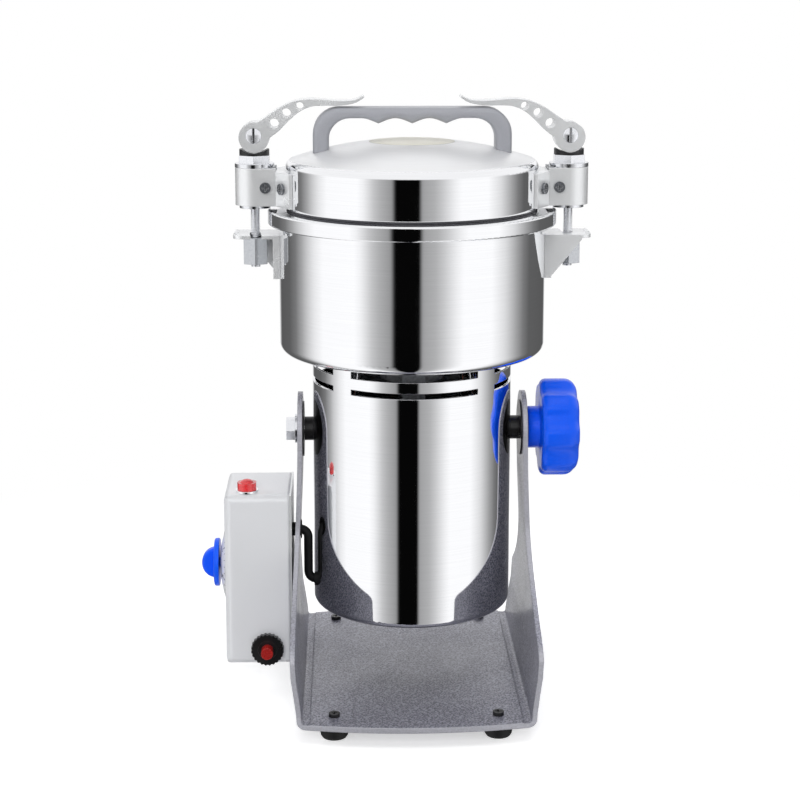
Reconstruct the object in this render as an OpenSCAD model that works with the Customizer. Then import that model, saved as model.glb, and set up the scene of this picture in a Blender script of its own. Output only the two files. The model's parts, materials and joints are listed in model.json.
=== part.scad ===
// Electric spice grinder that tilts in a yoke, with two cam clamps on its lid.
// Millimetres. +Z is up, +X is the viewer's right, the front faces -Y.
// The origin lies on the table, below the motor's axis.

/* [Stand] */
// Height of the tilt axis above the table
pivot_height = 168.5; // [160:0.5:180]
// Height of a rubber foot
foot_h = 9; // [6:0.5:10]
// Diameter of a foot at its top
foot_d = 19; // [15:1:24]
// Distance between the feet from side to side
foot_span_x = 99; // [80:1:104]
// Distance between the feet from front to back
foot_span_y = 168; // [150:1:170]
// Thickness of the floor plate
plate_t = 3.5; // [2.5:0.5:6]
// Thickness of an arm
arm_t = 3; // [2:0.5:3.5]
// Clearance between the motor housing and an ear
ear_clear = 6.4; // [6.2:0.1:7.4]
// How far an arm bulges outwards below its ear
arm_bulge = 3.8; // [1:0.2:4]
// Depth of the base at its corners
base_depth = 192; // [188:1:200]
// How much further the base reaches to the front than to the back, halved
base_reach = 6; // [0:0.5:10]
// How far the front and back edges bow out
base_bow = 7; // [3:0.5:12]
// Diameter of the round ear at the top of an arm
ear_d = 47; // [40:1:52]
// Height where the arms start to narrow towards the ears
shoulder_z = 53; // [45:1:60]
// Height over which the arms narrow
arm_sweep = 60; // [45:1:64]

/* [Motor] */
// Outer diameter of the motor housing
motor_d = 125.2; // [123:0.2:126]
// Length of the motor housing
motor_len = 163.5; // [158:0.5:166]
// How far the housing reaches above the tilt axis
motor_above = 51.5; // [49:0.5:54]
// Wall of the motor housing
motor_wall = 1.5; // [1:0.1:2]
// Height of a slot in the upper row of air vents
vent_high_h = 4.8; // [3:0.2:5.4]
// Height of a slot in the lower row of air vents
vent_low_h = 3.5; // [2:0.5:5]
// Width of the bridges between the slots, in degrees
vent_bridge = 14; // [8:1:24]
// Diameter of the motor shaft
shaft_d = 12; // [11:0.5:13]
// Thread diameter of the tilt bolt and of the tilt lock
pivot_d = 8; // [6:0.5:9]
// Diameter of a pivot boss
boss_d = 15; // [13:0.5:17]

/* [Bowl] */
// Outer diameter of the bowl
bowl_d = 165.5; // [163:0.5:166]
// Height of the bowl below its rim
bowl_h = 80.5; // [76:0.5:84]
// Wall of the bowl's outer shell
bowl_wall = 1.2; // [0.8:0.1:1.6]
// Radius of the bowl's lower edge
bowl_edge_r = 6; // [4:0.5:9]
// Inner diameter of the grinding chamber
chamber_d = 149; // [145:0.5:149.5]
// Wall of the grinding chamber
chamber_wall = 1.5; // [1:0.1:2]
// Outer diameter of the rim band
rim_d = 179; // [174:0.5:179]
// Height of the rim band
rim_h = 9; // [7:0.5:11]
// Tip to tip length of the lower blade
blade_span = 136; // [110:1:140]

/* [Lid] */
// Outer diameter of the lid
lid_d = 156.6; // [155.6:0.1:157.4]
// Height of the dome's top above the rim
lid_h = 42.5; // [40:0.5:46]
// Radius of curvature of the dome
dome_r = 240; // [220:5:300]
// Radius of the lid's upper edge
lid_edge_r = 5; // [4:0.5:7]
// Wall of the lid
lid_wall = 1.5; // [1:0.1:2]
// Width of the handle
handle_w = 122; // [110:1:126]
// Height of the handle above the dome's top
handle_h = 19.7; // [18:0.1:19.8]
// Thickness of a handle leg
handle_leg = 9.8; // [8:0.2:12]
// Depth of the handle from front to back
handle_depth = 22; // [18:1:26]

/* [Clamps] */
// Distance of a clamp stud from the motor's axis
clamp_x = 97.2; // [97.2:0.1:99]
// Thread diameter of a clamp stud
stud_d = 6; // [5:0.5:6]
// Width across flats of the long nut
nut_af = 14.5; // [12:0.5:14.5]
// Height of the long nut
nut_h = 16.7; // [12:0.5:20]
// Diameter of the strap's barrel
strap_d = 24.2; // [23:0.2:25]
// Height of the strap's barrel
strap_h = 23.2; // [20:0.2:26]
// Radius of the lever's head
cam_r = 10.7; // [10:0.1:12]
// How far a stud drops when its lever opens
cam_drop = 2.5; // [1.5:0.1:3]
// Angle through which a lever opens
lever_turn = 145; // [120:5:150]
// Diameter of the lever's cross pin
cam_pin_d = 9.6; // [8:0.2:10]
// Width of a lever
lever_w = 16; // [14:1:18]
// Depth of a lug plate from front to back
lug_w = 28; // [24:1:34]

/* [Control box] */
// Width of the control box, out from the arm
box_w = 40.8; // [38:0.2:48]
// Depth of the control box from front to back
box_d = 56; // [52:1:62]
// Height of the control box
box_h = 111.3; // [106:0.1:112]
// Height of the box's lower edge above the table
box_z = 21.5; // [18:0.5:24]
// Wall of the control box
box_wall = 1.5; // [1:0.1:2]
// Radius of the box's edges
box_edge_r = 4.5; // [3:0.5:6]
// Diameter of the timer's dial
dial_d = 50; // [44:1:54]
// Diameter of the timer knob
timer_knob_d = 30.8; // [26:0.2:36]
// Diameter of the pilot lamp
lamp_d = 12; // [9:0.5:14]
// Diameter of the breaker's ring nut
breaker_nut_d = 20.6; // [18:0.2:24]
// How far the reset button travels
button_travel = 2.5; // [1:0.5:3]
// Diameter of the mains cord that the gland takes
cord_d = 7; // [5:0.5:8]
// Diameter of the lead from the box to the motor
lead_d = 5.6; // [4:0.2:5.8]

/* [Tilt lock] */
// Diameter of the tilt lock knob
knob_d = 62; // [50:1:66]
// Thickness of the knob's grip
knob_t = 23.6; // [18:0.2:28]
// Diameter of the knob's hub
hub_d = 26.6; // [22:0.2:30]
// Length of the knob's hub
hub_len = 7.8; // [6:0.2:12]
// Number of lobes round the knob
knob_lobes = 8; // [6:1:10]

/* [Hidden] */
$fn = 72;

// Clearance of a piece that turns or slides in another
run = 0.05;
// Gap between pieces that are fastened together
seat = 0.05;
// Gap between pieces of different bodies that meet
gap = 0.3;
// A little extra, so that a cut goes right through
eps = 0.5;
METAL = [0.86, 0.87, 0.88];
STEEL = [0.62, 0.63, 0.65];
HAMMER = [0.47, 0.46, 0.51];
BLACK = [0.06, 0.06, 0.07];
BLUE = [0.02, 0.33, 0.96];

// Stand
plate_top = foot_h + plate_t;
ear_gap = motor_d + 2 * ear_clear;
ear_out = ear_gap / 2 + arm_t;
// The loosened knob stands this far off the ear
knob_slack = 1.2;
foot_seat_r = foot_d / 2 - 1.2;
foot_screw_r = 1.9;
base_edge_r = 5;
bulge_z = plate_top + 35;
arm_steps = 14;
sweep_steps = 28;
bow_r = (pow(ear_gap / 2, 2) + pow(base_bow, 2)) / (2 * base_bow);

// Motor
motor_r = motor_d / 2;
motor_z1 = pivot_height + motor_above;
motor_z0 = motor_z1 - motor_len;
motor_in = motor_r - motor_wall;
motor_edge_r = 4;
cover_t = 3;
deck_t = 3;
shaft_r = shaft_d / 2;
tail_r = shaft_r - 2;
bearing_r = shaft_r + 10;
bearing_h = 10;
tail_bearing_r = tail_r + 7;
tail_bearing_h = 7;
deck_z = motor_z1 - deck_t;
bearing_z = deck_z - 14;
core_z0 = motor_z0 + 46;
core_h = 50;
core_z1 = core_z0 + core_h;
bracket_t = 5;
bracket_z = core_z0 - 17;
core_r = motor_r - 7.6;
core_in = core_r - 9.5;
armature_r = core_in - 17.5;
coil_w = 2 * sqrt(pow(core_in - 1, 2) - pow(armature_r + 11, 2)) - 2.8;
air_gap = 0.9;
bolt_r = 2.5;
bolt_ring = (core_r + core_in) / 2;
fan_z = motor_z0 + 9;
fan_h = 15;
fan_r = motor_in - 15.1;
comm_z = core_z1 + 14;
comm_r = 14;
comm_h = 16;
pivot_r = pivot_d / 2;
boss_r = boss_d / 2;
boss_in = motor_r - 12;

// Bowl
bowl_r = bowl_d / 2;
bowl_z = motor_z1;
rim_z = bowl_z + bowl_h;
rim_top = rim_z + rim_h;
rim_t = 2;
chamber_r = chamber_d / 2;
floor_z = bowl_z + bowl_wall + chamber_wall;
blade_z = floor_z + 4;
blade_t = 2.5;
spacer_h = 12;
upper_z = blade_z + blade_t + spacer_h;
thread_r = shaft_r - 2;

// Lid
lid_r = lid_d / 2;
seal_t = 1.2;
seal_z = rim_top + 0.1;
lid_z = seal_z + seal_t + 0.1;
apex_z = rim_top + lid_h;
liner_t = 1.5;
liner_lip = 5;
dome_z = apex_z - dome_r;
edge_z = dome_z + sqrt(pow(dome_r - lid_edge_r, 2) - pow(lid_r - lid_edge_r, 2));
handle_x = (handle_w - handle_leg) / 2;
handle_screw_z = dome_z + sqrt(pow(dome_r - lid_wall, 2) - pow(handle_x + 3.5, 2)) - seat;
handle_screw_len = 10;

// Clamps
stud_r = stud_d / 2;
lug_t = 2.2;
lug_drop = 6.5;
lug_z = rim_z - lug_drop;
lug_out = clamp_x + 13.4;
lug_leg = 27;
slot_r = stud_r + 0.4;
nut_z1 = lug_z - lug_t - gap;
sleeve_r = 9.6;
strap_r = strap_d / 2;
strap_t = 2.4;
strap_z = rim_top + 2.3;
strap_z1 = strap_z + strap_h;
strap_x = lid_r + 5.6;
flange_t = 2.5;
collar_af = 18.5;
collar_h = 4.9;
collar_z = strap_z1 + flange_t;
tongue_y1 = strap_r - strap_t - 2 * seat;
tongue_y0 = tongue_y1 - 1.2;
tongue_x1 = clamp_x - sqrt(pow(sleeve_r + 0.15, 2) - pow(tongue_y0, 2));
strap_screw_x = clamp_x - 7;
strap_screw_r = 1.5;
saddle_y = 28;
saddle_x = sqrt(pow(lid_r, 2) - pow(saddle_y, 2)) + 2.2;
saddle_in = strap_r + 0.8;
saddle_screw_len = 7.5;
cup_z = collar_z + collar_h;
cup_r = 9.25;
cup_h = 3.7;
cup_hollow = cam_r + 2.8;
pin_z = cup_z + 1.2 + cam_r + gap;
cam_rate = cam_drop / lever_turn;
cam_pin_r = cam_pin_d / 2;
fork = stud_r + 0.5;

// Control box
box_x = -(ear_out + arm_bulge + 0.25);
back_t = 1.5;
box_in = box_x - back_t;
box_out = box_in - box_w;
box_mid = (box_in + box_out) / 2;
box_top = box_z + box_h;
dial_z = box_z + 59;
dial_t = 4.5;
lamp_x = box_in - 26.5;
lamp_y = 9 - box_d / 2;
lamp_h = 8.6;
breaker_x = box_in - 14.5;
breaker_z = box_z + 10.7;
breaker_r = 6;
button_r = 3.75;
button_out = 10.2;
button_len = 18.4;
gland_z = box_z + 20;
cord_bore = cord_d / 2 + 0.1;
arm_hole_z = 106.5;
arm_hole_y = -14;
lead_r = lead_d / 2;
motor_hole_z = motor_z0 + 17;
lead_bend = 5.2;
lead_play = 0.75;
lead_x = ear_gap / 2 - 3;

// A box with square ends, centred in X and Y
module block(x, y, z) {
    translate([-x / 2, -y / 2, 0]) cube([x, y, z]);
}

// A round tube that stands on the XY plane
module tube(r, bore, h) {
    difference() {
        cylinder(r = r, h = h);
        translate([0, 0, -eps]) cylinder(r = bore, h = h + 2 * eps);
    }
}

// A hexagonal bar, with its corners on the X axis
module hex(af, h) {
    cylinder(r = af / sqrt(3), h = h, $fn = 6);
}

// A front view made this thick from front to back, centred in Y
module across(thick) {
    translate([0, thick / 2, 0]) rotate([90, 0, 0]) linear_extrude(thick) children();
}

// What follows, laid along +X
module along_x() {
    rotate([0, 90, 0]) children();
}

// What follows, laid along +Y
module along_y() {
    rotate([-90, 0, 0]) children();
}

// What follows, twice, the second time half a turn round the motor's axis
module both_sides() {
    children();
    rotate([0, 0, 180]) children();
}

// A flat rectangle with round corners, centred
module round_rect(x, y, r) {
    square([x - 2 * r, y], center = true);
    square([x, y - 2 * r], center = true);
    for (sx = [-1, 1], sy = [-1, 1])
        translate([sx * (x / 2 - r), sy * (y / 2 - r)]) circle(r);
}

// A block with all its edges rounded, centred in X and Y
module soft_block(x, y, z, r) {
    intersection() {
        linear_extrude(z) round_rect(x, y, r);
        translate([0, y / 2, z / 2]) rotate([90, 0, 0]) linear_extrude(y) round_rect(x, z, r);
        translate([-x / 2, 0, z / 2]) rotate([90, 0, 90]) linear_extrude(x) round_rect(y, z, r);
    }
}

// Half of a round cup's section, with a rounded lower edge
module cup_section(r, h, edge) {
    translate([0, edge]) square([r, h - edge]);
    square([r - edge, edge]);
    translate([r - edge, edge]) circle(edge);
}

// A screw's pan head with a cross recess, on top of the XY plane
module pan_head(r, h) {
    difference() {
        cylinder(r = r, h = h);
        for (a = [0, 90])
            rotate([0, 0, a]) translate([0, 0, h * 0.5]) block(r * 1.2, r * 0.3, h);
    }
}

// A smooth step from 0 to 1
function ease(t) = let (c = min(1, max(0, t))) c * c * (3 - 2 * c);

// Distance of an arm's outer face from the middle, at a height
function arm_out(z) = ear_out + arm_bulge * (z < bulge_z
    ? ease((z - plate_top) / (bulge_z - plate_top))
    : 1 - ease((z - bulge_z) / (pivot_height - bulge_z)));

// How far an arm reaches from the motor's axis at a height, to the front (-1) or the back (1)
function arm_half(z, side) = let (
    over = z - shoulder_z,
    rise = over < -4 ? 0 : over > 4 ? over : pow(over + 4, 2) / 16,
    left = 1 - min(1, rise / arm_sweep)
) ear_d / 2 + (base_depth / 2 - 3 - side * base_reach - ear_d / 2) * left * left;

arm_heights = [for (i = [0 : arm_steps]) plate_top + base_edge_r
    + (pivot_height - plate_top - base_edge_r) * i / arm_steps];
arm_top = pivot_height + ear_d / 2 + 1;

// The yoke's front view, out to one side: the outer skin moved in by a distance
module yoke_side(inset) {
    polygon(concat(
        [[0, foot_h + inset], [ear_out - base_edge_r, foot_h + inset]],
        [for (a = [-75 : 15 : 0]) [
            ear_out - base_edge_r + (base_edge_r - inset) * cos(a),
            foot_h + base_edge_r + (base_edge_r - inset) * sin(a)]],
        [for (z = arm_heights) [arm_out(z) - inset, z]],
        [[ear_out - inset, arm_top], [0, arm_top]]
    ));
}

// The yoke's side view: the floor plate, an arm that narrows, and the round ear
module yoke_profile() {
    heights = [for (i = [0 : sweep_steps]) shoulder_z - 4 + (arm_sweep + 4) * i / sweep_steps];
    polygon(concat(
        [[-base_depth, 0], [base_depth, 0]],
        [[base_depth, plate_top + 4], [base_depth / 2 - base_reach - 1, plate_top + 4]],
        [for (z = heights) [arm_half(z, 1), z]],
        [[ear_d / 2, pivot_height], [-ear_d / 2, pivot_height]],
        [for (i = [sweep_steps : -1 : 0]) [-arm_half(heights[i], -1), heights[i]]],
        [[1 - base_depth / 2 - base_reach, plate_top + 4], [-base_depth, plate_top + 4]]
    ));
    translate([0, pivot_height]) circle(ear_d / 2);
}

// The space between the bowed front and back edges of the base
module bowed_edges(h) {
    translate([0, -base_reach, 0]) intersection() {
        translate([0, bow_r - base_depth / 2 - base_bow, 0]) cylinder(r = bow_r, h = h, $fn = 180);
        translate([0, base_depth / 2 + base_bow - bow_r, 0]) cylinder(r = bow_r, h = h, $fn = 180);
    }
}

module base_yoke() {
    color(HAMMER) difference() {
        intersection() {
            translate([0, base_depth, 0]) rotate([90, 0, 0]) linear_extrude(2 * base_depth)
                for (side = [0, 1]) mirror([side, 0]) difference() {
                    yoke_side(0);
                    yoke_side(arm_t);
                }
            translate([-2 * ear_out, 0, 0]) rotate([90, 0, 90])
                linear_extrude(4 * ear_out) yoke_profile();
            bowed_edges(arm_top);
        }
        for (s = [-1, 1])
            translate([s * (ear_out - arm_t - eps), 0, pivot_height]) mirror([s < 0 ? 1 : 0, 0, 0])
                along_x() cylinder(r = pivot_r + run, h = arm_t + 2 * eps);
        each_foot() cylinder(r = foot_screw_r + run, h = plate_top + eps);
        translate([box_x, arm_hole_y, arm_hole_z])
            along_x() cylinder(r = lead_r + 1.5, h = 20);
    }
    // The floor is one plate from arm to arm
    color(HAMMER) intersection() {
        difference() {
            translate([0, 0, foot_h]) block(ear_gap - 2 * base_edge_r, 2 * base_depth, plate_t);
            each_foot() cylinder(r = foot_screw_r + run, h = plate_top + eps);
        }
        bowed_edges(plate_top + eps);
    }
}

module each_foot() {
    for (x = [-1, 1], y = [-1, 1])
        translate([x * foot_span_x / 2, y * foot_span_y / 2 - base_reach, 0]) children();
}

module feet() {
    color(BLACK) each_foot() difference() {
        union() {
            translate([0, 0, 1.5]) cylinder(r1 = foot_seat_r, r2 = foot_d / 2, h = foot_h - 1.5);
            cylinder(r1 = foot_seat_r - 1, r2 = foot_seat_r, h = 1.5);
        }
        translate([0, 0, 2]) cylinder(r = foot_screw_r + run, h = foot_h);
    }
}

module foot_screws() {
    color(BLACK) each_foot() {
        translate([0, 0, plate_top]) pan_head(3.4, 2.2);
        translate([0, 0, 2.5]) cylinder(r = foot_screw_r, h = plate_top - 2.5);
    }
}

module friction_washers() {
    color(BLACK) for (s = [-1, 1])
        translate([s * (ear_gap / 2 - seat), 0, pivot_height])
            mirror([s > 0 ? 1 : 0, 0, 0])
                along_x() tube(ear_d / 2 - 6, pivot_r + run, 0.8);
}

module control_box() {
    color(METAL) difference() {
        intersection() {
            translate([box_mid + box_edge_r, 0, box_z])
                soft_block(box_w + 2 * box_edge_r, box_d, box_h, box_edge_r);
            translate([box_mid, 0, box_z - eps]) block(box_w, box_d + 2, box_h + 2 * eps);
        }
        translate([box_out + box_wall, box_wall - box_d / 2, box_z + box_wall])
            cube([box_w + eps, box_d - 2 * box_wall, box_h - 2 * box_wall]);
        translate([box_out - eps, 0, dial_z])
            along_x() cylinder(r = 5.5, h = box_wall + 2 * eps);
        translate([lamp_x, lamp_y, box_top - box_wall - eps])
            cylinder(r = lamp_d / 2 - 1 + seat, h = box_wall + 2 * eps);
        translate([breaker_x, -box_d / 2 - eps, breaker_z])
            along_y() cylinder(r = breaker_r + seat, h = box_wall + 2 * eps);
        translate([box_mid, box_d / 2 - box_wall - eps, gland_z])
            along_y() cylinder(r = cord_bore + 2.5 + seat, h = box_wall + 2 * eps);
    }
}

module box_backplate() {
    color(STEEL) difference() {
        translate([box_in, 0.5 - box_d / 2, box_z + 0.5])
            cube([back_t, box_d - 1, box_h - 1]);
        translate([box_in - eps, arm_hole_y, arm_hole_z])
            along_x() cylinder(r = lead_r + 1.5, h = back_t + 2 * eps);
    }
}

// The clockwork timer, in the box behind its dial
module timer_body() {
    color(STEEL) translate([box_out + box_wall + seat, 0, dial_z]) difference() {
        union() {
            along_x() cylinder(r = 21, h = box_w - box_wall - 6);
            translate([-box_wall - seat, 0, 0]) along_x() cylinder(r = 5.4, h = 4);
        }
        translate([-box_wall - 2, 0, 0]) along_x() cylinder(r = 3 + run, h = 14);
    }
}

module timer_dial() {
    color(METAL) translate([box_out, 0, dial_z]) rotate([0, -90, 0]) difference() {
        rotate_extrude() intersection() {
            translate([0, dial_t - 72]) circle(72, $fn = 180);
            square([dial_d / 2, dial_t]);
        }
        translate([0, 0, -eps]) cylinder(r = 5.5, h = dial_t + 2 * eps);
    }
}

module timer_knob() {
    base_t = 3.3;
    grip_h = 8.2;
    color(BLUE) translate([box_out - dial_t - gap, 0, dial_z]) {
        rotate([0, -90, 0]) cylinder(r = timer_knob_d / 2, h = base_t);
        intersection() {
            translate([-base_t + 1.5, -3.6, 0]) along_y() cylinder(r = grip_h + 1.5, h = 7.2);
            translate([-base_t - grip_h, -4, -grip_h - 2]) cube([grip_h + eps, 8, 2 * grip_h + 4]);
        }
        // The knob's own stem, in the timer's socket
        translate([-eps, 0, 0]) along_x() cylinder(r = 3, h = dial_t + 8);
    }
}

module pilot_lamp() {
    color([0.85, 0.08, 0.05, 0.9]) translate([lamp_x, lamp_y, box_top + 1.5 + seat]) {
        cylinder(r = lamp_d / 2, h = lamp_h - 4);
        rotate_extrude() intersection() {
            translate([0, lamp_h - 8]) circle(lamp_d / 2);
            translate([0, lamp_h - 6]) square([lamp_d / 2, 8]);
        }
    }
}

module lamp_bezel() {
    color(METAL) translate([lamp_x, lamp_y, 0]) {
        translate([0, 0, box_top]) cylinder(r = lamp_d / 2 + 1.2, h = 1.5);
        translate([0, 0, box_top - 12]) cylinder(r = lamp_d / 2 - 1, h = 12 + eps);
    }
}

module breaker_body() {
    color(BLACK) translate([breaker_x, 0, breaker_z]) difference() {
        union() {
            translate([0, -box_d / 2 - 3.4, 0]) along_y() cylinder(r = breaker_r, h = 8);
            translate([-8, box_wall + seat - box_d / 2, -7]) cube([16, 26, 14]);
        }
        translate([0, -box_d / 2 - 4, 0]) along_y()
            cylinder(r = button_r + run, h = button_len - button_out + button_travel + 5);
    }
}

module breaker_nut() {
    color(BLACK) translate([breaker_x, -box_d / 2, breaker_z]) rotate([90, 0, 0]) difference() {
        cylinder(r = breaker_nut_d / 2, h = 3.5);
        translate([0, 0, -eps]) cylinder(r = breaker_r + seat, h = 5);
        for (a = [0 : 15 : 345]) rotate([0, 0, a])
            translate([breaker_nut_d / 2 + 0.3, 0, -eps]) cylinder(r = 0.9, h = 5, $fn = 24);
    }
}

module reset_button() {
    color([0.85, 0.08, 0.05]) translate([breaker_x, -box_d / 2 - button_out, breaker_z])
        along_y() cylinder(r = button_r, h = button_len);
}

// The strain relief that the mains cord comes in by
module cord_gland() {
    color(BLACK) translate([box_mid, box_d / 2, gland_z]) difference() {
        union() {
            along_y() cylinder(r1 = cord_bore + 5, r2 = cord_bore + 2, h = 14);
            translate([0, -box_wall - 2, 0]) along_y() cylinder(r = cord_bore + 2.5, h = 2 + box_wall + eps);
        }
        translate([0, -box_wall - 4, 0]) along_y() cylinder(r = cord_bore, h = 24);
    }
}

// A grommet: a sleeve with a flange, on the motor's side of the arm
module arm_grommet() {
    color(BLACK) translate([-ear_gap / 2, arm_hole_y, arm_hole_z]) {
        inner = arm_t - arm_out(arm_hole_z) + ear_gap / 2;
        translate([inner + 0.3, 0, 0]) along_x() tube(lead_r + 3, lead_r + lead_play, 0.8);
        translate([box_x + ear_gap / 2, 0, 0])
            along_x() tube(lead_r + 1.45, lead_r + lead_play, inner + 0.4 - box_x - ear_gap / 2);
    }
}

module motor_lead() {
    color(BLACK) translate([0, arm_hole_y, 0]) {
        translate([box_in - 6, 0, arm_hole_z])
            along_x() cylinder(r = lead_r, h = 6 - box_in - lead_x - lead_bend);
        translate([-lead_x - lead_bend, 0, arm_hole_z - lead_bend]) rotate([90, 0, 0])
            rotate_extrude(angle = 90) translate([lead_bend, 0]) circle(lead_r, $fn = 32);
        translate([-lead_x, 0, motor_hole_z + lead_bend])
            cylinder(r = lead_r, h = arm_hole_z - motor_hole_z - 2 * lead_bend);
        translate([lead_bend - lead_x, 0, motor_hole_z + lead_bend]) rotate([90, 180, 0])
            rotate_extrude(angle = 90) translate([lead_bend, 0]) circle(lead_r, $fn = 32);
        translate([lead_bend - lead_x, 0, motor_hole_z]) along_x() cylinder(r = lead_r, h = 11);
    }
}

module motor_grommet() {
    color(BLACK) translate([0.3 - motor_r, arm_hole_y, motor_hole_z])
        along_x() tube(lead_r + 1.5, lead_r + lead_play, 5);
}

// Motor housing: a polished tube with two rows of air vents near its top
module motor_shell() {
    color(METAL) difference() {
        translate([0, 0, motor_z0]) rotate_extrude($fn = 180) difference() {
            cup_section(motor_r, motor_len, motor_edge_r);
            translate([0, motor_wall]) cup_section(motor_in, motor_len, motor_edge_r - motor_wall);
            translate([0, -eps]) square([motor_r - 8, 3]);
        }
        for (row = [[motor_z1 - 8.3, vent_high_h], [motor_z1 - 18.5, vent_low_h]], a = [0 : 90 : 270])
            translate([0, 0, row[0]]) rotate([0, 0, a - 45 + vent_bridge / 2])
                rotate_extrude(angle = 90 - vent_bridge, $fn = 180)
                    translate([motor_in - eps, 0]) square([motor_wall + 2 * eps, row[1]]);
        both_sides() translate([boss_in, 0, pivot_height])
            along_x() cylinder(r = boss_r - 2 + seat, h = 20);
        translate([-motor_r - 2, arm_hole_y, motor_hole_z])
            along_x() cylinder(r = lead_r + 1.5 + seat, h = 8);
    }
}

module bottom_cover() {
    color(BLACK) translate([0, 0, motor_z0 + motor_wall + seat]) difference() {
        cylinder(r = motor_in - motor_edge_r, h = cover_t, $fn = 120);
        for (ring = [[18, 8, 3], [31, 12, 3.6], [44, 16, 4]], i = [0 : 1 : ring[1] - 1])
            rotate([0, 0, 360 * i / ring[1]]) translate([ring[0], 0, -eps])
                cylinder(r = ring[2], h = cover_t + 2 * eps, $fn = 32);
    }
}

// The casting that closes the housing at the top: it holds the upper bearing and the brushes
module deck_plate() {
    brush_z = comm_z + comm_h / 2;
    color(STEEL) difference() {
        union() {
            translate([0, 0, deck_z]) cylinder(r = motor_in - seat, h = deck_t, $fn = 120);
            translate([0, 0, bearing_z - 1]) cylinder(r = bearing_r + 4, h = deck_z - bearing_z + 1 + eps);
            for (s = [-1, 1]) translate([0, s * 33, brush_z - 8])
                block(14, 10, deck_z - brush_z + 8 + eps);
        }
        translate([0, 0, bearing_z - 1 - eps]) cylinder(r = bearing_r, h = bearing_h + 1 + eps);
        translate([0, 0, bearing_z]) cylinder(r = shaft_r + 4, h = 40);
        for (s = [-1, 1]) translate([0, s * 33, brush_z - 4 - seat])
            block(8 + 2 * seat, 20, 8 + 2 * seat);
        bolt_places() translate([0, 0, deck_z - eps]) cylinder(r = bolt_r + seat, h = deck_t + 2 * eps);
    }
}

module bolt_places() {
    for (a = [45 : 90 : 315]) rotate([0, 0, a]) translate([bolt_ring, 0, 0]) children();
}

module tie_bolts() {
    color(STEEL) bolt_places() {
        translate([0, 0, bracket_z - 4]) cylinder(r = bolt_r, h = motor_z1 - 0.2 - bracket_z + 4);
        translate([0, 0, bracket_z - 4 - seat]) hex(8, 4);
    }
}

module lower_bracket() {
    color(STEEL) translate([0, 0, bracket_z]) difference() {
        union() {
            cylinder(r = core_r, h = bracket_t);
            translate([0, 0, -3]) cylinder(r = tail_bearing_r + 3, h = bracket_t + 3);
        }
        translate([0, 0, -3 - eps]) cylinder(r = tail_bearing_r, h = tail_bearing_h - 1 + eps);
        translate([0, 0, -eps]) cylinder(r = shaft_r + 1, h = bracket_t + 2 * eps);
        for (a = [0 : 90 : 270]) rotate([0, 0, a]) translate([31, 0, -eps])
            cylinder(r = 11, h = bracket_t + 2 * eps);
        translate([0, 0, -bracket_z]) bolt_places()
            translate([0, 0, bracket_z - eps]) cylinder(r = bolt_r + seat, h = bracket_t + 2 * eps);
    }
}

module stator_core() {
    color(STEEL) translate([0, 0, core_z0]) difference() {
        union() {
            tube(core_r, core_in, core_h);
            for (s = [-1, 1]) translate([0, s * (armature_r + core_in + 4.5) / 2, 0])
                block(22, core_in - armature_r - 1.5, core_h);
            intersection() {
                tube(armature_r + air_gap + 3.4, armature_r, core_h);
                for (s = [-1, 1]) translate([0, s * (armature_r + 2), 0]) block(44, 30, core_h);
            }
        }
        translate([0, 0, -eps]) cylinder(r = armature_r + air_gap, h = core_h + 2 * eps);
        translate([0, 0, -core_z0]) bolt_places()
            translate([0, 0, core_z0 - eps]) cylinder(r = bolt_r + seat, h = core_h + 2 * eps);
    }
}

module field_coils() {
    color([0.62, 0.32, 0.14]) for (s = [-1, 1])
        translate([0, s * (armature_r + 8), core_z0 - 8]) difference() {
            block(coil_w, 6, core_h + 16);
            translate([0, 0, 8 - seat]) block(22 + 2 * seat, 8, core_h + 2 * seat);
        }
}

module carbon_brushes() {
    color(BLACK) for (s = [0, 180]) rotate([0, 0, s])
        translate([-4, comm_r + gap, comm_z + comm_h / 2 - 4]) cube([8, 26, 8]);
}

module motor_bearings() {
    color(METAL) translate([0, 0, bearing_z]) tube(bearing_r - seat, shaft_r + run, bearing_h);
    color(METAL) translate([0, 0, bracket_z - 4])
        tube(tail_bearing_r - seat, tail_r + run, tail_bearing_h);
}

// Bosses on the tilt axis, welded through the housing's wall
module pivot_bosses() {
    color(BLACK) both_sides() translate([0, 0, pivot_height]) difference() {
        union() {
            difference() {
                along_x() cylinder(r = boss_r, h = ear_gap / 2 - 0.8 - seat - gap);
                translate([0, 0, -20]) cylinder(r = motor_r + seat, h = 40, $fn = 180);
            }
            translate([boss_in, 0, 0]) along_x() cylinder(r = boss_r - 2, h = motor_r - boss_in + 1);
        }
        translate([boss_in - eps, 0, 0]) along_x() cylinder(r = pivot_r + run, h = 30);
    }
}

module pivot_bolt() {
    color(METAL) translate([-ear_out - gap - 1.6 - seat, 0, pivot_height]) {
        along_x() cylinder(r = pivot_r, h = ear_out - boss_in + 1.6);
        rotate([0, -90, 0]) rotate([0, 0, 90]) hex(13, 5.5);
    }
}

module pivot_washer() {
    color(METAL) translate([-ear_out - gap - 1.6, 0, pivot_height])
        along_x() tube(9.35, pivot_r + seat, 1.6);
}

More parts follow.
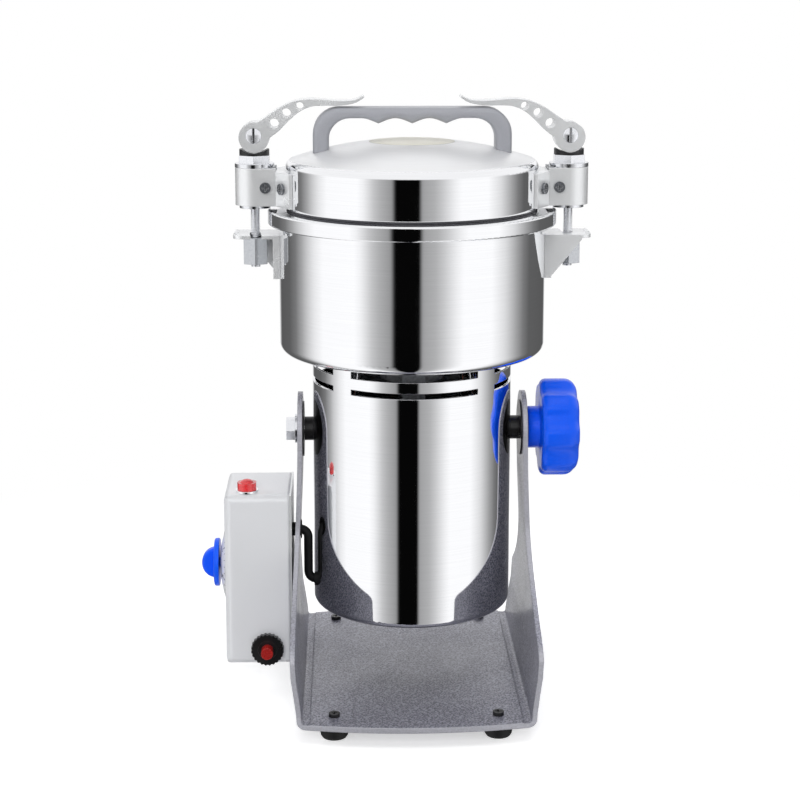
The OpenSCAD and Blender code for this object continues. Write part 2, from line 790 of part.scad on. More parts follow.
// Star knob that locks the tilt
module tilt_knob() {
    outer_edge = 8;
    inner_edge = 4;
    color(BLUE) translate([ear_out + knob_slack, 0, pivot_height]) along_x() difference() {
        union() {
            cylinder(r = hub_d / 2, h = hub_len + 1);
            translate([0, 0, hub_len]) difference() {
                rotate_extrude() {
                    square([knob_d / 2 - outer_edge, knob_t]);
                    translate([0, inner_edge])
                        square([knob_d / 2, knob_t - inner_edge - outer_edge]);
                    translate([knob_d / 2 - outer_edge, knob_t - outer_edge]) circle(outer_edge);
                    translate([knob_d / 2 - inner_edge, inner_edge]) circle(inner_edge);
                    square([knob_d / 2 - inner_edge, inner_edge]);
                }
                for (i = [0 : 1 : knob_lobes - 1]) rotate([0, 0, 360 * (i + 0.5) / knob_lobes])
                    translate([knob_d / 2 + 11.2, 0, -eps]) cylinder(r = 14, h = knob_t + 2 * eps);
            }
        }
        translate([0, 0, -eps]) cylinder(r = pivot_r + seat, h = hub_len + 10 + eps);
    }
}

module tilt_stud() {
    color(METAL) translate([boss_in + 1, 0, pivot_height])
        along_x() cylinder(r = pivot_r, h = ear_out + knob_slack + hub_len + 8.5 - boss_in);
}

// Rotor
module motor_shaft() {
    top = upper_z + blade_t + 9;
    color(METAL) {
        translate([0, 0, fan_z - 2]) cylinder(r = tail_r, h = bracket_z + 4.5 - fan_z + 2);
        translate([0, 0, bracket_z + 4]) cylinder(r = shaft_r, h = blade_z - bracket_z - 4);
        translate([0, 0, blade_z - eps]) cylinder(r = thread_r, h = top - blade_z + eps);
    }
}

module armature() {
    color([0.55, 0.35, 0.2]) difference() {
        union() {
            translate([0, 0, core_z0 - 2]) cylinder(r = armature_r, h = core_h + 4);
            translate([0, 0, core_z0 - 9]) cylinder(r = armature_r - 5, h = core_h + 20);
        }
        translate([0, 0, core_z0 - 10]) cylinder(r = shaft_r + seat, h = core_h + 30);
        for (a = [0 : 30 : 330]) rotate([0, 0, a]) translate([armature_r, 0, core_z0 - 3])
            cylinder(r = 2, h = core_h + 6, $fn = 24);
    }
}

module commutator() {
    color([0.72, 0.45, 0.2]) translate([0, 0, comm_z]) tube(comm_r, shaft_r + seat, comm_h);
}

module cooling_fan() {
    blades = 9;
    color(BLACK) translate([0, 0, fan_z]) difference() {
        union() {
            cylinder(r = tail_r + 5, h = fan_h);
            translate([0, 0, fan_h - 2]) cylinder(r = fan_r, h = 2);
            for (i = [0 : 1 : blades - 1]) rotate([0, 0, 360 * i / blades])
                translate([tail_r + 4, -0.8, 0]) cube([fan_r - tail_r - 6, 1.6, fan_h - 1]);
        }
        translate([0, 0, -eps]) cylinder(r = tail_r + seat, h = fan_h + 2 * eps);
    }
}

// A flat blade with two arms, each ground to an edge on its leading side
module blade(span, root, tip) {
    bevel = blade_t;
    difference() {
        linear_extrude(blade_t) difference() {
            union() {
                circle(root * 0.62);
                for (a = [0, 180]) rotate(a) polygon([
                    [0, -root / 2], [span * 0.3, -root / 2], [span / 2 - 3, -tip / 2],
                    [span / 2, tip * 0.2], [span / 2 - 6, tip / 2], [0, root / 2]]);
            }
            circle(thread_r + seat);
        }
        for (a = [0, 180]) rotate([0, 0, a]) translate([root, -root / 2, blade_t])
            rotate([45, 0, 0]) translate([0, -bevel, -bevel / 2]) cube([span, 2 * bevel, bevel / 2]);
    }
}

module lower_blade() {
    color(METAL) translate([0, 0, blade_z]) blade(blade_span, 26, 16);
}

module upper_blade() {
    color(METAL) translate([0, 0, upper_z]) rotate([0, 0, 90]) blade(blade_span * 0.72, 24, 14);
}

module blade_spacer() {
    color(METAL) translate([0, 0, blade_z + blade_t])
        tube(shaft_r + 3, thread_r + seat, spacer_h);
}

module blade_nut() {
    color(METAL) translate([0, 0, upper_z + blade_t]) difference() {
        hex(13, 6.5);
        translate([0, 0, -eps]) cylinder(r = thread_r + seat, h = 8);
    }
}

// Bowl
module bowl_shell() {
    color(METAL) translate([0, 0, bowl_z]) rotate_extrude($fn = 180) difference() {
        cup_section(bowl_r, bowl_h + rim_h - rim_t - chamber_wall, bowl_edge_r);
        translate([0, bowl_wall])
            cup_section(bowl_r - bowl_wall, bowl_h + rim_h, bowl_edge_r - bowl_wall);
        translate([0, -eps]) square([shaft_r + 4, 4]);
    }
}

// The grinding chamber: an inner cup whose flange lies under the rim band
module grinding_chamber() {
    flange = rim_z + rim_h - rim_t - chamber_wall;
    color(METAL) rotate_extrude($fn = 180) {
        translate([0, bowl_z + bowl_wall]) difference() {
            cup_section(chamber_r + chamber_wall, flange - bowl_z - bowl_wall + chamber_wall, 8);
            translate([0, chamber_wall]) cup_section(chamber_r, bowl_h + rim_h, 8 - chamber_wall);
            translate([0, -eps]) square([shaft_r + 4, 4]);
        }
        translate([chamber_r + eps, flange]) square([bowl_r - chamber_r + 1 - eps, chamber_wall]);
    }
}

module rim_ring() {
    r = rim_d / 2;
    edge = 1;
    color(METAL) rotate_extrude($fn = 180) difference() {
        union() {
            translate([chamber_r, rim_z]) square([r - edge - chamber_r, rim_h]);
            translate([chamber_r, rim_z + edge]) square([r - chamber_r, rim_h - 2 * edge]);
            for (z = [rim_z + edge, rim_top - edge]) translate([r - edge, z]) circle(edge, $fn = 32);
        }
        translate([chamber_r - eps, rim_z - eps])
            square([bowl_r + seat - chamber_r + eps, rim_h - rim_t - chamber_wall - seat + eps]);
        translate([chamber_r - eps, rim_top - rim_t - chamber_wall - 2 * seat])
            square([bowl_r - chamber_r + 1 + seat + eps, chamber_wall + 3 * seat]);
        translate([bowl_r + 1, rim_z + 2]) square([r - rim_t - bowl_r - 1, rim_h - 2 - rim_t]);
    }
}

// A lug on the bowl: its slot opens along the turn of the lid
module lid_lugs() {
    leg_x = bowl_r + 3.2;
    color(METAL) both_sides() difference() {
        union() {
            translate([0, 0, lug_z - lug_t]) linear_extrude(lug_t) difference() {
                translate([lug_out / 2 + 10, 0]) round_rect(lug_out - 20, lug_w, 6);
                square([2 * bowl_r - 4, 60], center = true);
            }
            translate([lug_out - 1.6, 7 - lug_w / 2, lug_z - 0.4])
                along_y() cylinder(r = 1.6, h = lug_w - 14);
            translate([bowl_r - 6, -lug_w / 2, lug_z - lug_leg])
                cube([leg_x - bowl_r + 6, lug_w, lug_leg]);
            translate([0, 2.2 - lug_w / 2, 0]) rotate([90, 0, 0]) linear_extrude(2.2) polygon([
                [leg_x - 1, lug_z - lug_t + 1], [lug_out - 6, lug_z - lug_t + 1],
                [lug_out - 6, lug_z - lug_t - 1], [leg_x - 1, lug_z - lug_leg]]);
        }
        translate([0, 0, lug_z - lug_leg - eps]) cylinder(r = bowl_r + seat, h = lug_leg + 4, $fn = 180);
        translate([clamp_x, 0, lug_z - lug_t - eps]) cylinder(r = slot_r, h = 6);
        translate([0, 0, lug_z - lug_t - eps]) rotate_extrude(angle = 30, $fn = 180)
            translate([clamp_x - slot_r, 0]) square([2 * slot_r, 6]);
    }
}

module shaft_seal() {
    color(BLACK) translate([0, 0, deck_z]) tube(shaft_r + 4 - seat, shaft_r + 0.1, floor_z - deck_z + 1.5);
}

// Lid
module lid_seal() {
    color([0.25, 0.25, 0.27]) translate([0, 0, seal_z])
        difference() {
            cylinder(r = lid_r - 0.4, h = seal_t, $fn = 180);
            translate([0, 0, -eps]) cylinder(r = chamber_r, h = 3, $fn = 180);
        }
}

// Half of the lid's section, with an even inset for its inside
module lid_section(inset) {
    r = lid_r - inset;
    edge = lid_edge_r - inset;
    tangent = (dome_r - inset) * (lid_r - lid_edge_r) / (dome_r - lid_edge_r);
    translate([0, lid_z - inset]) square([r, edge_z - lid_z + inset]);
    translate([lid_r - lid_edge_r, edge_z]) circle(edge);
    intersection() {
        translate([0, dome_z]) circle(dome_r - inset, $fn = 360);
        translate([0, edge_z - 1]) square([tangent, 60]);
    }
}

module lid_shell() {
    color(METAL) difference() {
        rotate_extrude($fn = 180) difference() {
            lid_section(0);
            lid_section(lid_wall);
        }
        both_sides() translate([handle_x, 0, handle_screw_z - 2])
            cylinder(r = strap_screw_r + seat, h = 20);
        both_sides() saddle_places() translate([0, 0, -20]) cylinder(r = strap_screw_r + seat, h = 20);
    }
}

// The lid's inner pan, with a lip that centres it in the chamber
module lid_liner() {
    lip_r = chamber_r - 0.6;
    color(METAL) translate([0, 0, lid_z + seat]) difference() {
        union() {
            cylinder(r = lid_r - lid_wall - seat, h = liner_t, $fn = 180);
            translate([0, 0, -liner_lip]) cylinder(r = lip_r, h = liner_lip + eps, $fn = 180);
        }
        translate([0, 0, -liner_lip - eps]) cylinder(r = lip_r - 1.5, h = liner_lip + eps, $fn = 180);
    }
}

// The handle's front view: two legs and a bar with four finger hollows
module handle_outline() {
    top = apex_z + handle_h;
    foot = edge_z - 2;
    corner = 16;
    thin = 6.4;
    dip = 3.2;
    inner = handle_w / 2 - handle_leg;
    inner_corner = 13;
    pitch = (2 * inner - 19.4) / 4;
    hollow_r = (pow(pitch / 2, 2) + pow(dip, 2)) / (2 * dip);
    difference() {
        union() {
            translate([-handle_w / 2, foot]) square([handle_w, top - corner - foot]);
            translate([corner - handle_w / 2, foot]) square([handle_w - 2 * corner, top - foot]);
            for (s = [-1, 1]) translate([s * (handle_w / 2 - corner), top - corner]) circle(corner);
        }
        translate([-inner, foot - eps]) square([2 * inner, top - thin - inner_corner - foot + eps]);
        for (i = [-1.5 : 1 : 1.5]) translate([i * pitch, top - thin - hollow_r]) circle(hollow_r);
        for (s = [-1, 1]) translate([s * (inner - inner_corner), top - thin - inner_corner])
            circle(inner_corner);
        for (s = [0, 1]) mirror([s, 0]) translate([1.5 * pitch, top - thin - inner_corner])
            square([inner - inner_corner - 1.5 * pitch, inner_corner]);
    }
}

module lid_handle() {
    top = apex_z + handle_h;
    color([0.6, 0.61, 0.63]) difference() {
        intersection() {
            translate([0, handle_depth / 2, 0]) rotate([90, 0, 0])
                linear_extrude(handle_depth) handle_outline();
            translate([-handle_w / 2, 0, top - 40]) rotate([90, 0, 90])
                linear_extrude(handle_w) round_rect(handle_depth, 80, 5);
        }
        translate([0, 0, dome_z]) sphere(dome_r + seat, $fn = 360);
        both_sides() translate([handle_x, 0, handle_screw_z])
            cylinder(r = strap_screw_r + seat, h = handle_screw_len + eps);
    }
}

// Clamps
// A bracket is a saddle on the lid's skirt, with a tongue inside each side of its strap
module clamp_brackets() {
    pad_h = strap_h - 2;
    pad_x = strap_x - seat;
    color(METAL) both_sides() translate([0, 0, strap_z + 0.1]) difference() {
        union() {
            linear_extrude(pad_h) polygon([
                [lid_r - 12, -saddle_y], [saddle_x, -saddle_y], [pad_x, -saddle_in],
                [pad_x, saddle_in], [saddle_x, saddle_y], [lid_r - 12, saddle_y]]);
            for (s = [-1, 1]) translate([strap_x - 1, s > 0 ? tongue_y0 : -tongue_y1, 0])
                cube([tongue_x1 - strap_x + 1, tongue_y1 - tongue_y0, pad_h]);
        }
        translate([0, 0, -eps]) cylinder(r = lid_r + seat, h = 40, $fn = 180);
        translate([strap_screw_x, -20, strap_h / 2 - 0.1])
            along_y() cylinder(r = strap_screw_r + seat, h = 40);
        translate([0, 0, -strap_z - 0.1]) saddle_places()
            translate([0, 0, -12]) cylinder(r = strap_screw_r + seat, h = 14);
    }
}

// Where screws hold a bracket to the lid: on its two slanted faces
module saddle_places() {
    turn = atan2(strap_x - seat - saddle_x, saddle_y - saddle_in);
    for (s = [-1, 1])
        translate([(strap_x - seat + saddle_x) / 2, s * (saddle_y + saddle_in) / 2, strap_z + strap_h / 2])
            rotate([0, 90, s * turn]) children();
}

module clamp_straps() {
    color(METAL) both_sides() translate([0, 0, strap_z]) difference() {
        linear_extrude(strap_h) difference() {
            u_shape(strap_r, 0);
            u_shape(strap_r - strap_t, eps);
        }
        translate([strap_screw_x, -20, strap_h / 2])
            along_y() cylinder(r = strap_screw_r + seat, h = 40);
    }
}

// A strap's plan: a half circle round the stud with two straight sides to the lid
module u_shape(r, extra) {
    translate([clamp_x, 0]) circle(r);
    translate([strap_x - extra, -r]) square([clamp_x - strap_x + extra, 2 * r]);
}

// The screws that hold the straps to their brackets, and the brackets and the handle to the lid
module lid_screws() {
    shank = strap_r - tongue_y0;
    color(METAL) both_sides() for (s = [-1, 1])
        translate([strap_screw_x, s * (strap_r + seat), strap_z + strap_h / 2]) rotate([-90 * s, 0, 0])
            lid_screw(shank);
    color(METAL) both_sides() translate([handle_x, 0, handle_screw_z]) rotate([180, 0, 0])
        lid_screw(handle_screw_len);
    color(METAL) both_sides() saddle_places() translate([0, 0, seat]) lid_screw(saddle_screw_len);
}

module lid_screw(shank) {
    pan_head(3.5, 1.8);
    translate([0, 0, -shank]) cylinder(r = strap_screw_r, h = shank + eps);
}

module guide_sleeves() {
    bottom = rim_top + gap;
    color(METAL) both_sides() translate([clamp_x, 0, 0]) difference() {
        union() {
            translate([0, 0, bottom]) cylinder(r = sleeve_r, h = strap_z1 - bottom + eps);
            translate([0, 0, strap_z1 + seat]) cylinder(r = strap_r + 0.1, h = flange_t - seat);
            translate([0, 0, collar_z - eps]) rotate([0, 0, 30]) hex(collar_af, collar_h + eps);
        }
        translate([0, 0, bottom - eps]) cylinder(r = stud_r + run, h = 60);
    }
}

// The cups that the levers' heads roll in
module cam_cups() {
    color(BLACK) both_sides() translate([clamp_x, 0, cup_z + seat]) difference() {
        cylinder(r = cup_r, h = cup_h - seat);
        translate([0, -20, 1.2 - seat + cup_hollow])
            along_y() cylinder(r = cup_hollow, h = 40, $fn = 120);
        translate([0, 0, -eps]) cylinder(r = stud_r + 2 * run, h = 6);
    }
}

// A stud with the cross pin that carries its lever
module clamp_stud() {
    bottom = nut_z1 - nut_h - 2;
    color(METAL) {
        translate([clamp_x, 0, bottom]) cylinder(r = stud_r, h = pin_z - bottom);
        translate([clamp_x, -lever_w / 2 - 0.6, pin_z])
            along_y() cylinder(r = cam_pin_r, h = lever_w + 1.2);
    }
}

module stud_right() {
    clamp_stud();
}

module stud_left() {
    rotate([0, 0, 180]) clamp_stud();
}

module long_nut() {
    color(METAL) translate([clamp_x, 0, nut_z1 - nut_h]) difference() {
        rotate([0, 0, 30]) hex(nut_af, nut_h);
        translate([0, 0, -eps]) cylinder(r = stud_r + seat, h = nut_h + 2 * eps);
    }
}

module nut_right() {
    long_nut();
}

module nut_left() {
    rotate([0, 0, 180]) long_nut();
}

// The lever's centre line from its tip to its head: out, up and half width, from the cross pin
lever_line = [
    [-67.5, 23.8, 0.7], [-61.5, 20.8, 1.0], [-52.4, 19.9, 1.5], [-43, 20.2, 1.8],
    [-34.8, 20.1, 2.4], [-26.7, 17.9, 3.6], [-18.8, 13.2, 4.9], [-11.5, 7.2, 5.8], [-4, 2, 6]
];
lever_holes = [[-28.4, 18.2, 2.4], [-20.2, 14, 2.8], [-12.6, 7.6, 3]];
lever_samples = 5;

// A smooth curve through a list of points
function spline(p, i, t) = let (
    a = p[max(0, i - 1)], b = p[i], c = p[i + 1], d = p[min(len(p) - 1, i + 2)]
) 0.5 * (2 * b + (c - a) * t + (2 * a - 5 * b + 4 * c - d) * t * t
    + (3 * b - a - 3 * c + d) * t * t * t);

lever_curve = [for (i = [0 : len(lever_line) - 2], k = [0 : lever_samples - 1])
    spline(lever_line, i, k / lever_samples)];

// A point on the lever's upper (1) or lower (-1) side
function lever_side(i, s) = let (
    p = lever_curve[i],
    a = lever_curve[max(0, i - 1)], b = lever_curve[min(len(lever_curve) - 1, i + 1)],
    d = [b[0] - a[0], b[1] - a[1]], n = norm(d)
) [p[0] - s * p[2] * d[1] / n, p[1] + s * p[2] * d[0] / n];

// The head's rim: a spiral that shrinks as the lever opens, so that the stud drops
cam_points = [for (a = [0 : 5 : 355]) let (
    r = a <= lever_turn ? cam_r - cam_rate * a
        : cam_r - cam_drop * (360 - a) / (360 - lever_turn)
) [r * sin(a), -r * cos(a)]];

module cam_lever() {
    last = len(lever_curve) - 1;
    reach = cam_r + 4;
    open = [sin(lever_turn), -cos(lever_turn)];
    left = [-open[1], open[0]];
    color(METAL) translate([clamp_x, 0, pin_z]) difference() {
        union() {
            across(lever_w) polygon(concat(
                [for (i = [0 : last]) lever_side(i, 1)],
                [for (i = [last : -1 : 0]) lever_side(i, -1)]));
            across(lever_w) polygon(cam_points);
        }
        across(lever_w + 2) for (h = lever_holes) translate([h[0], h[1]]) circle(h[2], $fn = 48);
        across(lever_w + 2) circle(cam_pin_r + run);
        // The fork, open wherever the stud comes as the lever turns
        across(2 * fork) polygon([
            [-fork, -reach], [-fork, 0], fork * left, fork * left + reach * open,
            [reach + 4, reach], [reach + 4, -reach]]);
    }
}

module lever_right() {
    cam_lever();
}

module lever_left() {
    rotate([0, 0, 180]) cam_lever();
}

base_yoke();
feet();
foot_screws();
friction_washers();
control_box();
box_backplate();
timer_body();
timer_dial();
timer_knob();
pilot_lamp();
lamp_bezel();
breaker_body();
breaker_nut();
reset_button();
cord_gland();
arm_grommet();
motor_lead();
motor_grommet();
motor_shell();
bottom_cover();
deck_plate();
tie_bolts();
lower_bracket();
stator_core();
field_coils();
carbon_brushes();
motor_bearings();
pivot_bosses();
pivot_bolt();
pivot_washer();
tilt_knob();
tilt_stud();
motor_shaft();
armature();
commutator();
cooling_fan();
lower_blade();
upper_blade();
blade_spacer();
blade_nut();
bowl_shell();
grinding_chamber();
rim_ring();
lid_lugs();
shaft_seal();
lid_seal();
lid_shell();
lid_liner();
lid_handle();
clamp_brackets();
clamp_straps();
lid_screws();
guide_sleeves();
cam_cups();
stud_left();
stud_right();
nut_left();
nut_right();
lever_left();
lever_right();
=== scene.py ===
# %% [markdown]
# An electric spice grinder, from its bare solids to a finished picture.
# The machine is a polished motor housing with a bowl on top. It tilts between the two arms of
# a painted yoke. The solids come from the CAD model. This lesson gives them their finishes,
# swaps the ones that need softer shapes for better meshes, and lights the whole.

import json
import math

import bmesh
import bpy
from mathutils import Matrix, Vector


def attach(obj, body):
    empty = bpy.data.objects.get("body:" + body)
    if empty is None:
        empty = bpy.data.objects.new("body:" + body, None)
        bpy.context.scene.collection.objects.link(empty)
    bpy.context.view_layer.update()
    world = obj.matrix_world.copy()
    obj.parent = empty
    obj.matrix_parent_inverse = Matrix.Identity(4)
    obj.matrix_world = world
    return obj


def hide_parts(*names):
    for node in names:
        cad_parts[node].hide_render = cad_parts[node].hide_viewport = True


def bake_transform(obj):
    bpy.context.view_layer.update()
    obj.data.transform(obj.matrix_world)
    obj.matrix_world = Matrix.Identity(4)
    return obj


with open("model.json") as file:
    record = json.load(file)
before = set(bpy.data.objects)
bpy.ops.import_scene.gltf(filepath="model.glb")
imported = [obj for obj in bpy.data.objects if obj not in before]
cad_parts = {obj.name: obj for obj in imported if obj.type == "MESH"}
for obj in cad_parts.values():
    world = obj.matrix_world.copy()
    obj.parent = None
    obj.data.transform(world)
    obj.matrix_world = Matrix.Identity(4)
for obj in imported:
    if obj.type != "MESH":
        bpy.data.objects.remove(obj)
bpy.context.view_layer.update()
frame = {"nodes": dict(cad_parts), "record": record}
nodes = frame["nodes"]
MM = 0.001

# %% [markdown]
# The camera. The photograph was taken with a long lens, from a little above the bowl and a
# little to the left. A tilted camera with a small vertical shift comes closest to that view,
# so the upright edges stay nearly parallel.

# %% Set up the camera
CAMERA_TURN = math.radians(-1.6)
CAMERA_PITCH = math.radians(10.95)
CAMERA_DISTANCE = 1.144
CAMERA_AIM = Vector((-7.4, 0, 238.2)) * MM

camera_data = bpy.data.cameras.new("camera")
camera_data.sensor_width = 36
camera_data.lens = 81.9
camera_data.shift_y = -0.1
camera = bpy.data.objects.new("camera", camera_data)
bpy.context.scene.collection.objects.link(camera)
looking = Vector((
    -math.sin(CAMERA_TURN) * math.cos(CAMERA_PITCH),
    math.cos(CAMERA_TURN) * math.cos(CAMERA_PITCH),
    -math.sin(CAMERA_PITCH),
))
camera.location = CAMERA_AIM - looking * CAMERA_DISTANCE
camera.rotation_euler = looking.to_track_quat("-Z", "Y").to_euler()
bpy.context.scene.camera = camera
bpy.context.scene.view_settings.view_transform = "Standard"
print("camera at", [round(c, 3) for c in camera.location])

# %% [markdown]
# Helpers for shader nodes. A material is a small graph. Two short functions keep the rest of
# the lesson readable: one places a node and fills its sockets, one starts a node group.

# %% Small helpers for node graphs
def place(tree, kind, values=None, **settings):
    """Add a node, set its properties, and fill or link its input sockets."""
    node = tree.nodes.new(kind)
    for key, value in settings.items():
        setattr(node, key, value)
    for key, value in (values or {}).items():
        socket = node.inputs[key]
        if isinstance(value, bpy.types.NodeSocket):
            tree.links.new(value, socket)
        else:
            socket.default_value = value
    return node


def start_group(name, inputs, outputs):
    """A new shader node group with named sockets, its input node and its output node."""
    group = bpy.data.node_groups.new(name, "ShaderNodeTree")
    for label, default in inputs:
        socket = group.interface.new_socket(label, in_out="INPUT", socket_type="NodeSocketFloat")
        socket.default_value = default
    for label, kind in outputs:
        group.interface.new_socket(label, in_out="OUTPUT", socket_type="NodeSocket" + kind)
    return group, place(group, "NodeGroupInput"), place(group, "NodeGroupOutput")


def srgb(red, green, blue):
    """A colour as it looks on screen, turned into the linear values that shaders use."""
    def linear(c):
        return c / 12.92 if c <= 0.04045 else ((c + 0.055) / 1.055) ** 2.4
    return (linear(red), linear(green), linear(blue), 1.0)


print("helpers ready; mid grey is", round(srgb(0.5, 0.5, 0.5)[0], 3), "in linear light")

# %% [markdown]
# The light. Polished steel shows its surroundings, so the studio round the machine matters
# more than its own colour. A photographer puts big white softboxes left and right of the
# camera and leaves a dark gap between them: it becomes the dark stripe down the middle of
# each cylinder. Here the world holds those tones for reflections, by compass direction, and
# stays plain white for the camera. Five lamps shape the painted and moulded pieces.

# %% Build the world
WORLD_LIGHT = 0.2
CEILING_TONE = (0.98, 0.98, 0.99, 1)
WHITE = (1, 1, 1, 1)
# Compass angle from the camera's side, in degrees, and how bright the studio is there
STUDIO_TONES = [
    (-180, 0.95), (-170, 0.90), (-158, 0.10), (-133, 0.12), (-121, 0.20), (-111, 0.40),
    (-102, 0.66), (-94, 0.88), (-84, 1.06), (-52, 1.08), (-46, 0.97), (-36, 0.60), (-30, 0.47),
    (-20, 0.33), (-16.5, 0.002), (4.5, 0.002), (7.5, 0.38), (18, 0.47), (25, 0.62), (37, 0.95),
    (43, 1.07), (70, 1.07), (85, 0.78), (92, 0.58), (100, 0.38), (109, 0.21), (119, 0.12),
    (158, 0.10), (170, 0.90), (180, 0.95),
]

world = bpy.data.worlds.new("studio")
bpy.context.scene.world = world
world.use_nodes = True
tree = world.node_tree
tree.nodes.clear()
sky = place(tree, "ShaderNodeTexCoord")
split = place(tree, "ShaderNodeSeparateXYZ", {"Vector": sky.outputs["Generated"]})
towards = place(tree, "ShaderNodeMath", {0: split.outputs["Y"], 1: -1.0}, operation="MULTIPLY")
compass = place(tree, "ShaderNodeMath", {
    0: split.outputs["X"], 1: towards.outputs[0]}, operation="ARCTAN2")
share = place(tree, "ShaderNodeMath", {
    0: compass.outputs[0], 1: 1 / math.tau, 2: 0.5}, operation="MULTIPLY_ADD")
tones = place(tree, "ShaderNodeValToRGB", {"Fac": share.outputs[0]})
ramp = tones.color_ramp
while len(ramp.elements) > 1:
    ramp.elements.remove(ramp.elements[-1])
for number, (angle, value) in enumerate(STUDIO_TONES):
    spot = min(1.0, max(0.0, angle / 360 + 0.5))
    element = ramp.elements[0] if number == 0 else ramp.elements.new(spot)
    element.position = spot
    element.color = (value, value, value * 1.01, 1)
# From just above the horizon upwards the studio is an even white ceiling
height = place(tree, "ShaderNodeMapRange", {
    "Value": split.outputs["Z"], "From Min": -0.04, "From Max": 0.13},
    interpolation_type="SMOOTHSTEP")
# A Mix node's colours are its sockets 6 and 7, and its mixed colour is output 2
seen = place(tree, "ShaderNodeMix", {
    0: height.outputs[0], 6: tones.outputs[0], 7: CEILING_TONE}, data_type="RGBA")
rays = place(tree, "ShaderNodeLightPath")
mirror_view = place(tree, "ShaderNodeBackground", {"Color": seen.outputs[2], "Strength": 1.0})
plain_view = place(tree, "ShaderNodeBackground", {"Color": WHITE, "Strength": 1.0})
lighting = place(tree, "ShaderNodeBackground", {"Color": WHITE, "Strength": WORLD_LIGHT})
glossy_mix = place(tree, "ShaderNodeMixShader", {
    0: rays.outputs["Is Glossy Ray"], 1: lighting.outputs[0], 2: mirror_view.outputs[0]})
clear_mix = place(tree, "ShaderNodeMixShader", {
    0: rays.outputs["Is Transmission Ray"], 1: glossy_mix.outputs[0], 2: plain_view.outputs[0]})
camera_mix = place(tree, "ShaderNodeMixShader", {
    0: rays.outputs["Is Camera Ray"], 1: clear_mix.outputs[0], 2: plain_view.outputs[0]})
place(tree, "ShaderNodeOutputWorld", {"Surface": camera_mix.outputs[0]})
print("studio tones:", len(STUDIO_TONES))

# %% Hang the lamps
# name, compass angle from the camera, height above the table, distance, size, watts
LAMPS = [
    ("front_softbox", -12, 1.1, 2.0, 1.2, 21),
    ("left_softbox", -104, 0.9, 1.9, 1.2, 14),
    ("right_softbox", 104, 0.9, 1.9, 1.2, 12),
    ("top_softbox", 10, 2.2, 0.5, 1.2, 12),
    ("back_softbox", 172, 1.3, 1.9, 1.2, 11),
]
for name, angle, lamp_height, distance, size, watts in LAMPS:
    lamp_data = bpy.data.lights.new(name, "AREA")
    lamp_data.size = size
    lamp_data.energy = watts
    lamp = bpy.data.objects.new(name, lamp_data)
    bpy.context.scene.collection.objects.link(lamp)
    turn = math.radians(angle)
    lamp.location = (distance * math.sin(turn), -distance * math.cos(turn), lamp_height)
    aim = Vector((0, 0, 0.2)) - lamp.location
    lamp.rotation_euler = aim.to_track_quat("-Z", "Y").to_euler()
    # The steel already reflects the studio's own softboxes
    lamp.visible_glossy = False
    print(name, "hangs at", [round(c, 2) for c in lamp.location])

# %% Lay the floor
# Metres: half the floor's width, and how far out the paper starts and ends its turn to white
FLOOR_HALF, FADE_START, FADE_END = 5, 0.14, 0.55
# The floor lies this far under the feet, so that the two never share a plane
FLOOR_DROP = 0.3 * MM
PAPER_TONE = (0.86, 0.86, 0.86, 1)

floor_mesh = bpy.data.meshes.new("floor")
builder = bmesh.new()
bmesh.ops.create_grid(builder, x_segments=2, y_segments=2, size=FLOOR_HALF)
builder.to_mesh(floor_mesh)
builder.free()
floor = bpy.data.objects.new("floor", floor_mesh)
floor.location.z = -FLOOR_DROP
bpy.context.scene.collection.objects.link(floor)

# The steel reflects the studio's tones and not the paper
floor.visible_glossy = False

paper = bpy.data.materials.new("paper")
paper.use_nodes = True
tree = paper.node_tree
tree.nodes.clear()
rays = place(tree, "ShaderNodeLightPath")
matte = place(tree, "ShaderNodeBsdfDiffuse", {"Color": PAPER_TONE})
lift = place(tree, "ShaderNodeEmission", {"Color": WHITE, "Strength": 0.5})
lifted = place(tree, "ShaderNodeAddShader", {0: matte.outputs[0], 1: lift.outputs[0]})
# Away from the machine the paper turns into plain white, so no horizon shows
spot = place(tree, "ShaderNodeTexCoord")
reach = place(tree, "ShaderNodeVectorMath", {0: spot.outputs["Object"]}, operation="LENGTH")
far = place(tree, "ShaderNodeMapRange", {
    "Value": reach.outputs["Value"], "From Min": FADE_START, "From Max": FADE_END},
    interpolation_type="SMOOTHSTEP")
white = place(tree, "ShaderNodeEmission", {"Color": WHITE, "Strength": 1.0})
faded = place(tree, "ShaderNodeMixShader", {
    0: far.outputs[0], 1: lifted.outputs[0], 2: white.outputs[0]})
chosen = place(tree, "ShaderNodeMixShader", {
    0: rays.outputs["Is Camera Ray"], 1: matte.outputs[0], 2: faded.outputs[0]})
place(tree, "ShaderNodeOutputMaterial", {"Surface": chosen.outputs[0]})
floor_mesh.materials.append(paper)
print("floor laid at", floor.location.z)

# %% [markdown]
# Effects that many finishes share are node groups. Each puts out a tone that runs from 0 to
# 1 and a height for a Bump node. Rounded edges come from a Bevel node: real sheet and
# moulded pieces never end in a knife edge, and the small radius catches the light.

# %% Group: rounded edges
rounded_edges, entry, exit_ = start_group(
    "rounded edges", [("Radius", 0.0004)], [("Normal", "Vector"), ("Edge", "Float")])
bevel = place(rounded_edges, "ShaderNodeBevel", {"Radius": entry.outputs["Radius"]}, samples=6)
surface = place(rounded_edges, "ShaderNodeNewGeometry")
agree = place(rounded_edges, "ShaderNodeVectorMath", {
    0: bevel.outputs[0], 1: surface.outputs["Normal"]}, operation="DOT_PRODUCT")
edge = place(rounded_edges, "ShaderNodeMapRange", {
    "Value": agree.outputs["Value"], "From Min": 0.99, "From Max": 0.82},
    interpolation_type="SMOOTHSTEP")
rounded_edges.links.new(bevel.outputs[0], exit_.inputs["Normal"])
rounded_edges.links.new(edge.outputs[0], exit_.inputs["Edge"])
print("group", rounded_edges.name)

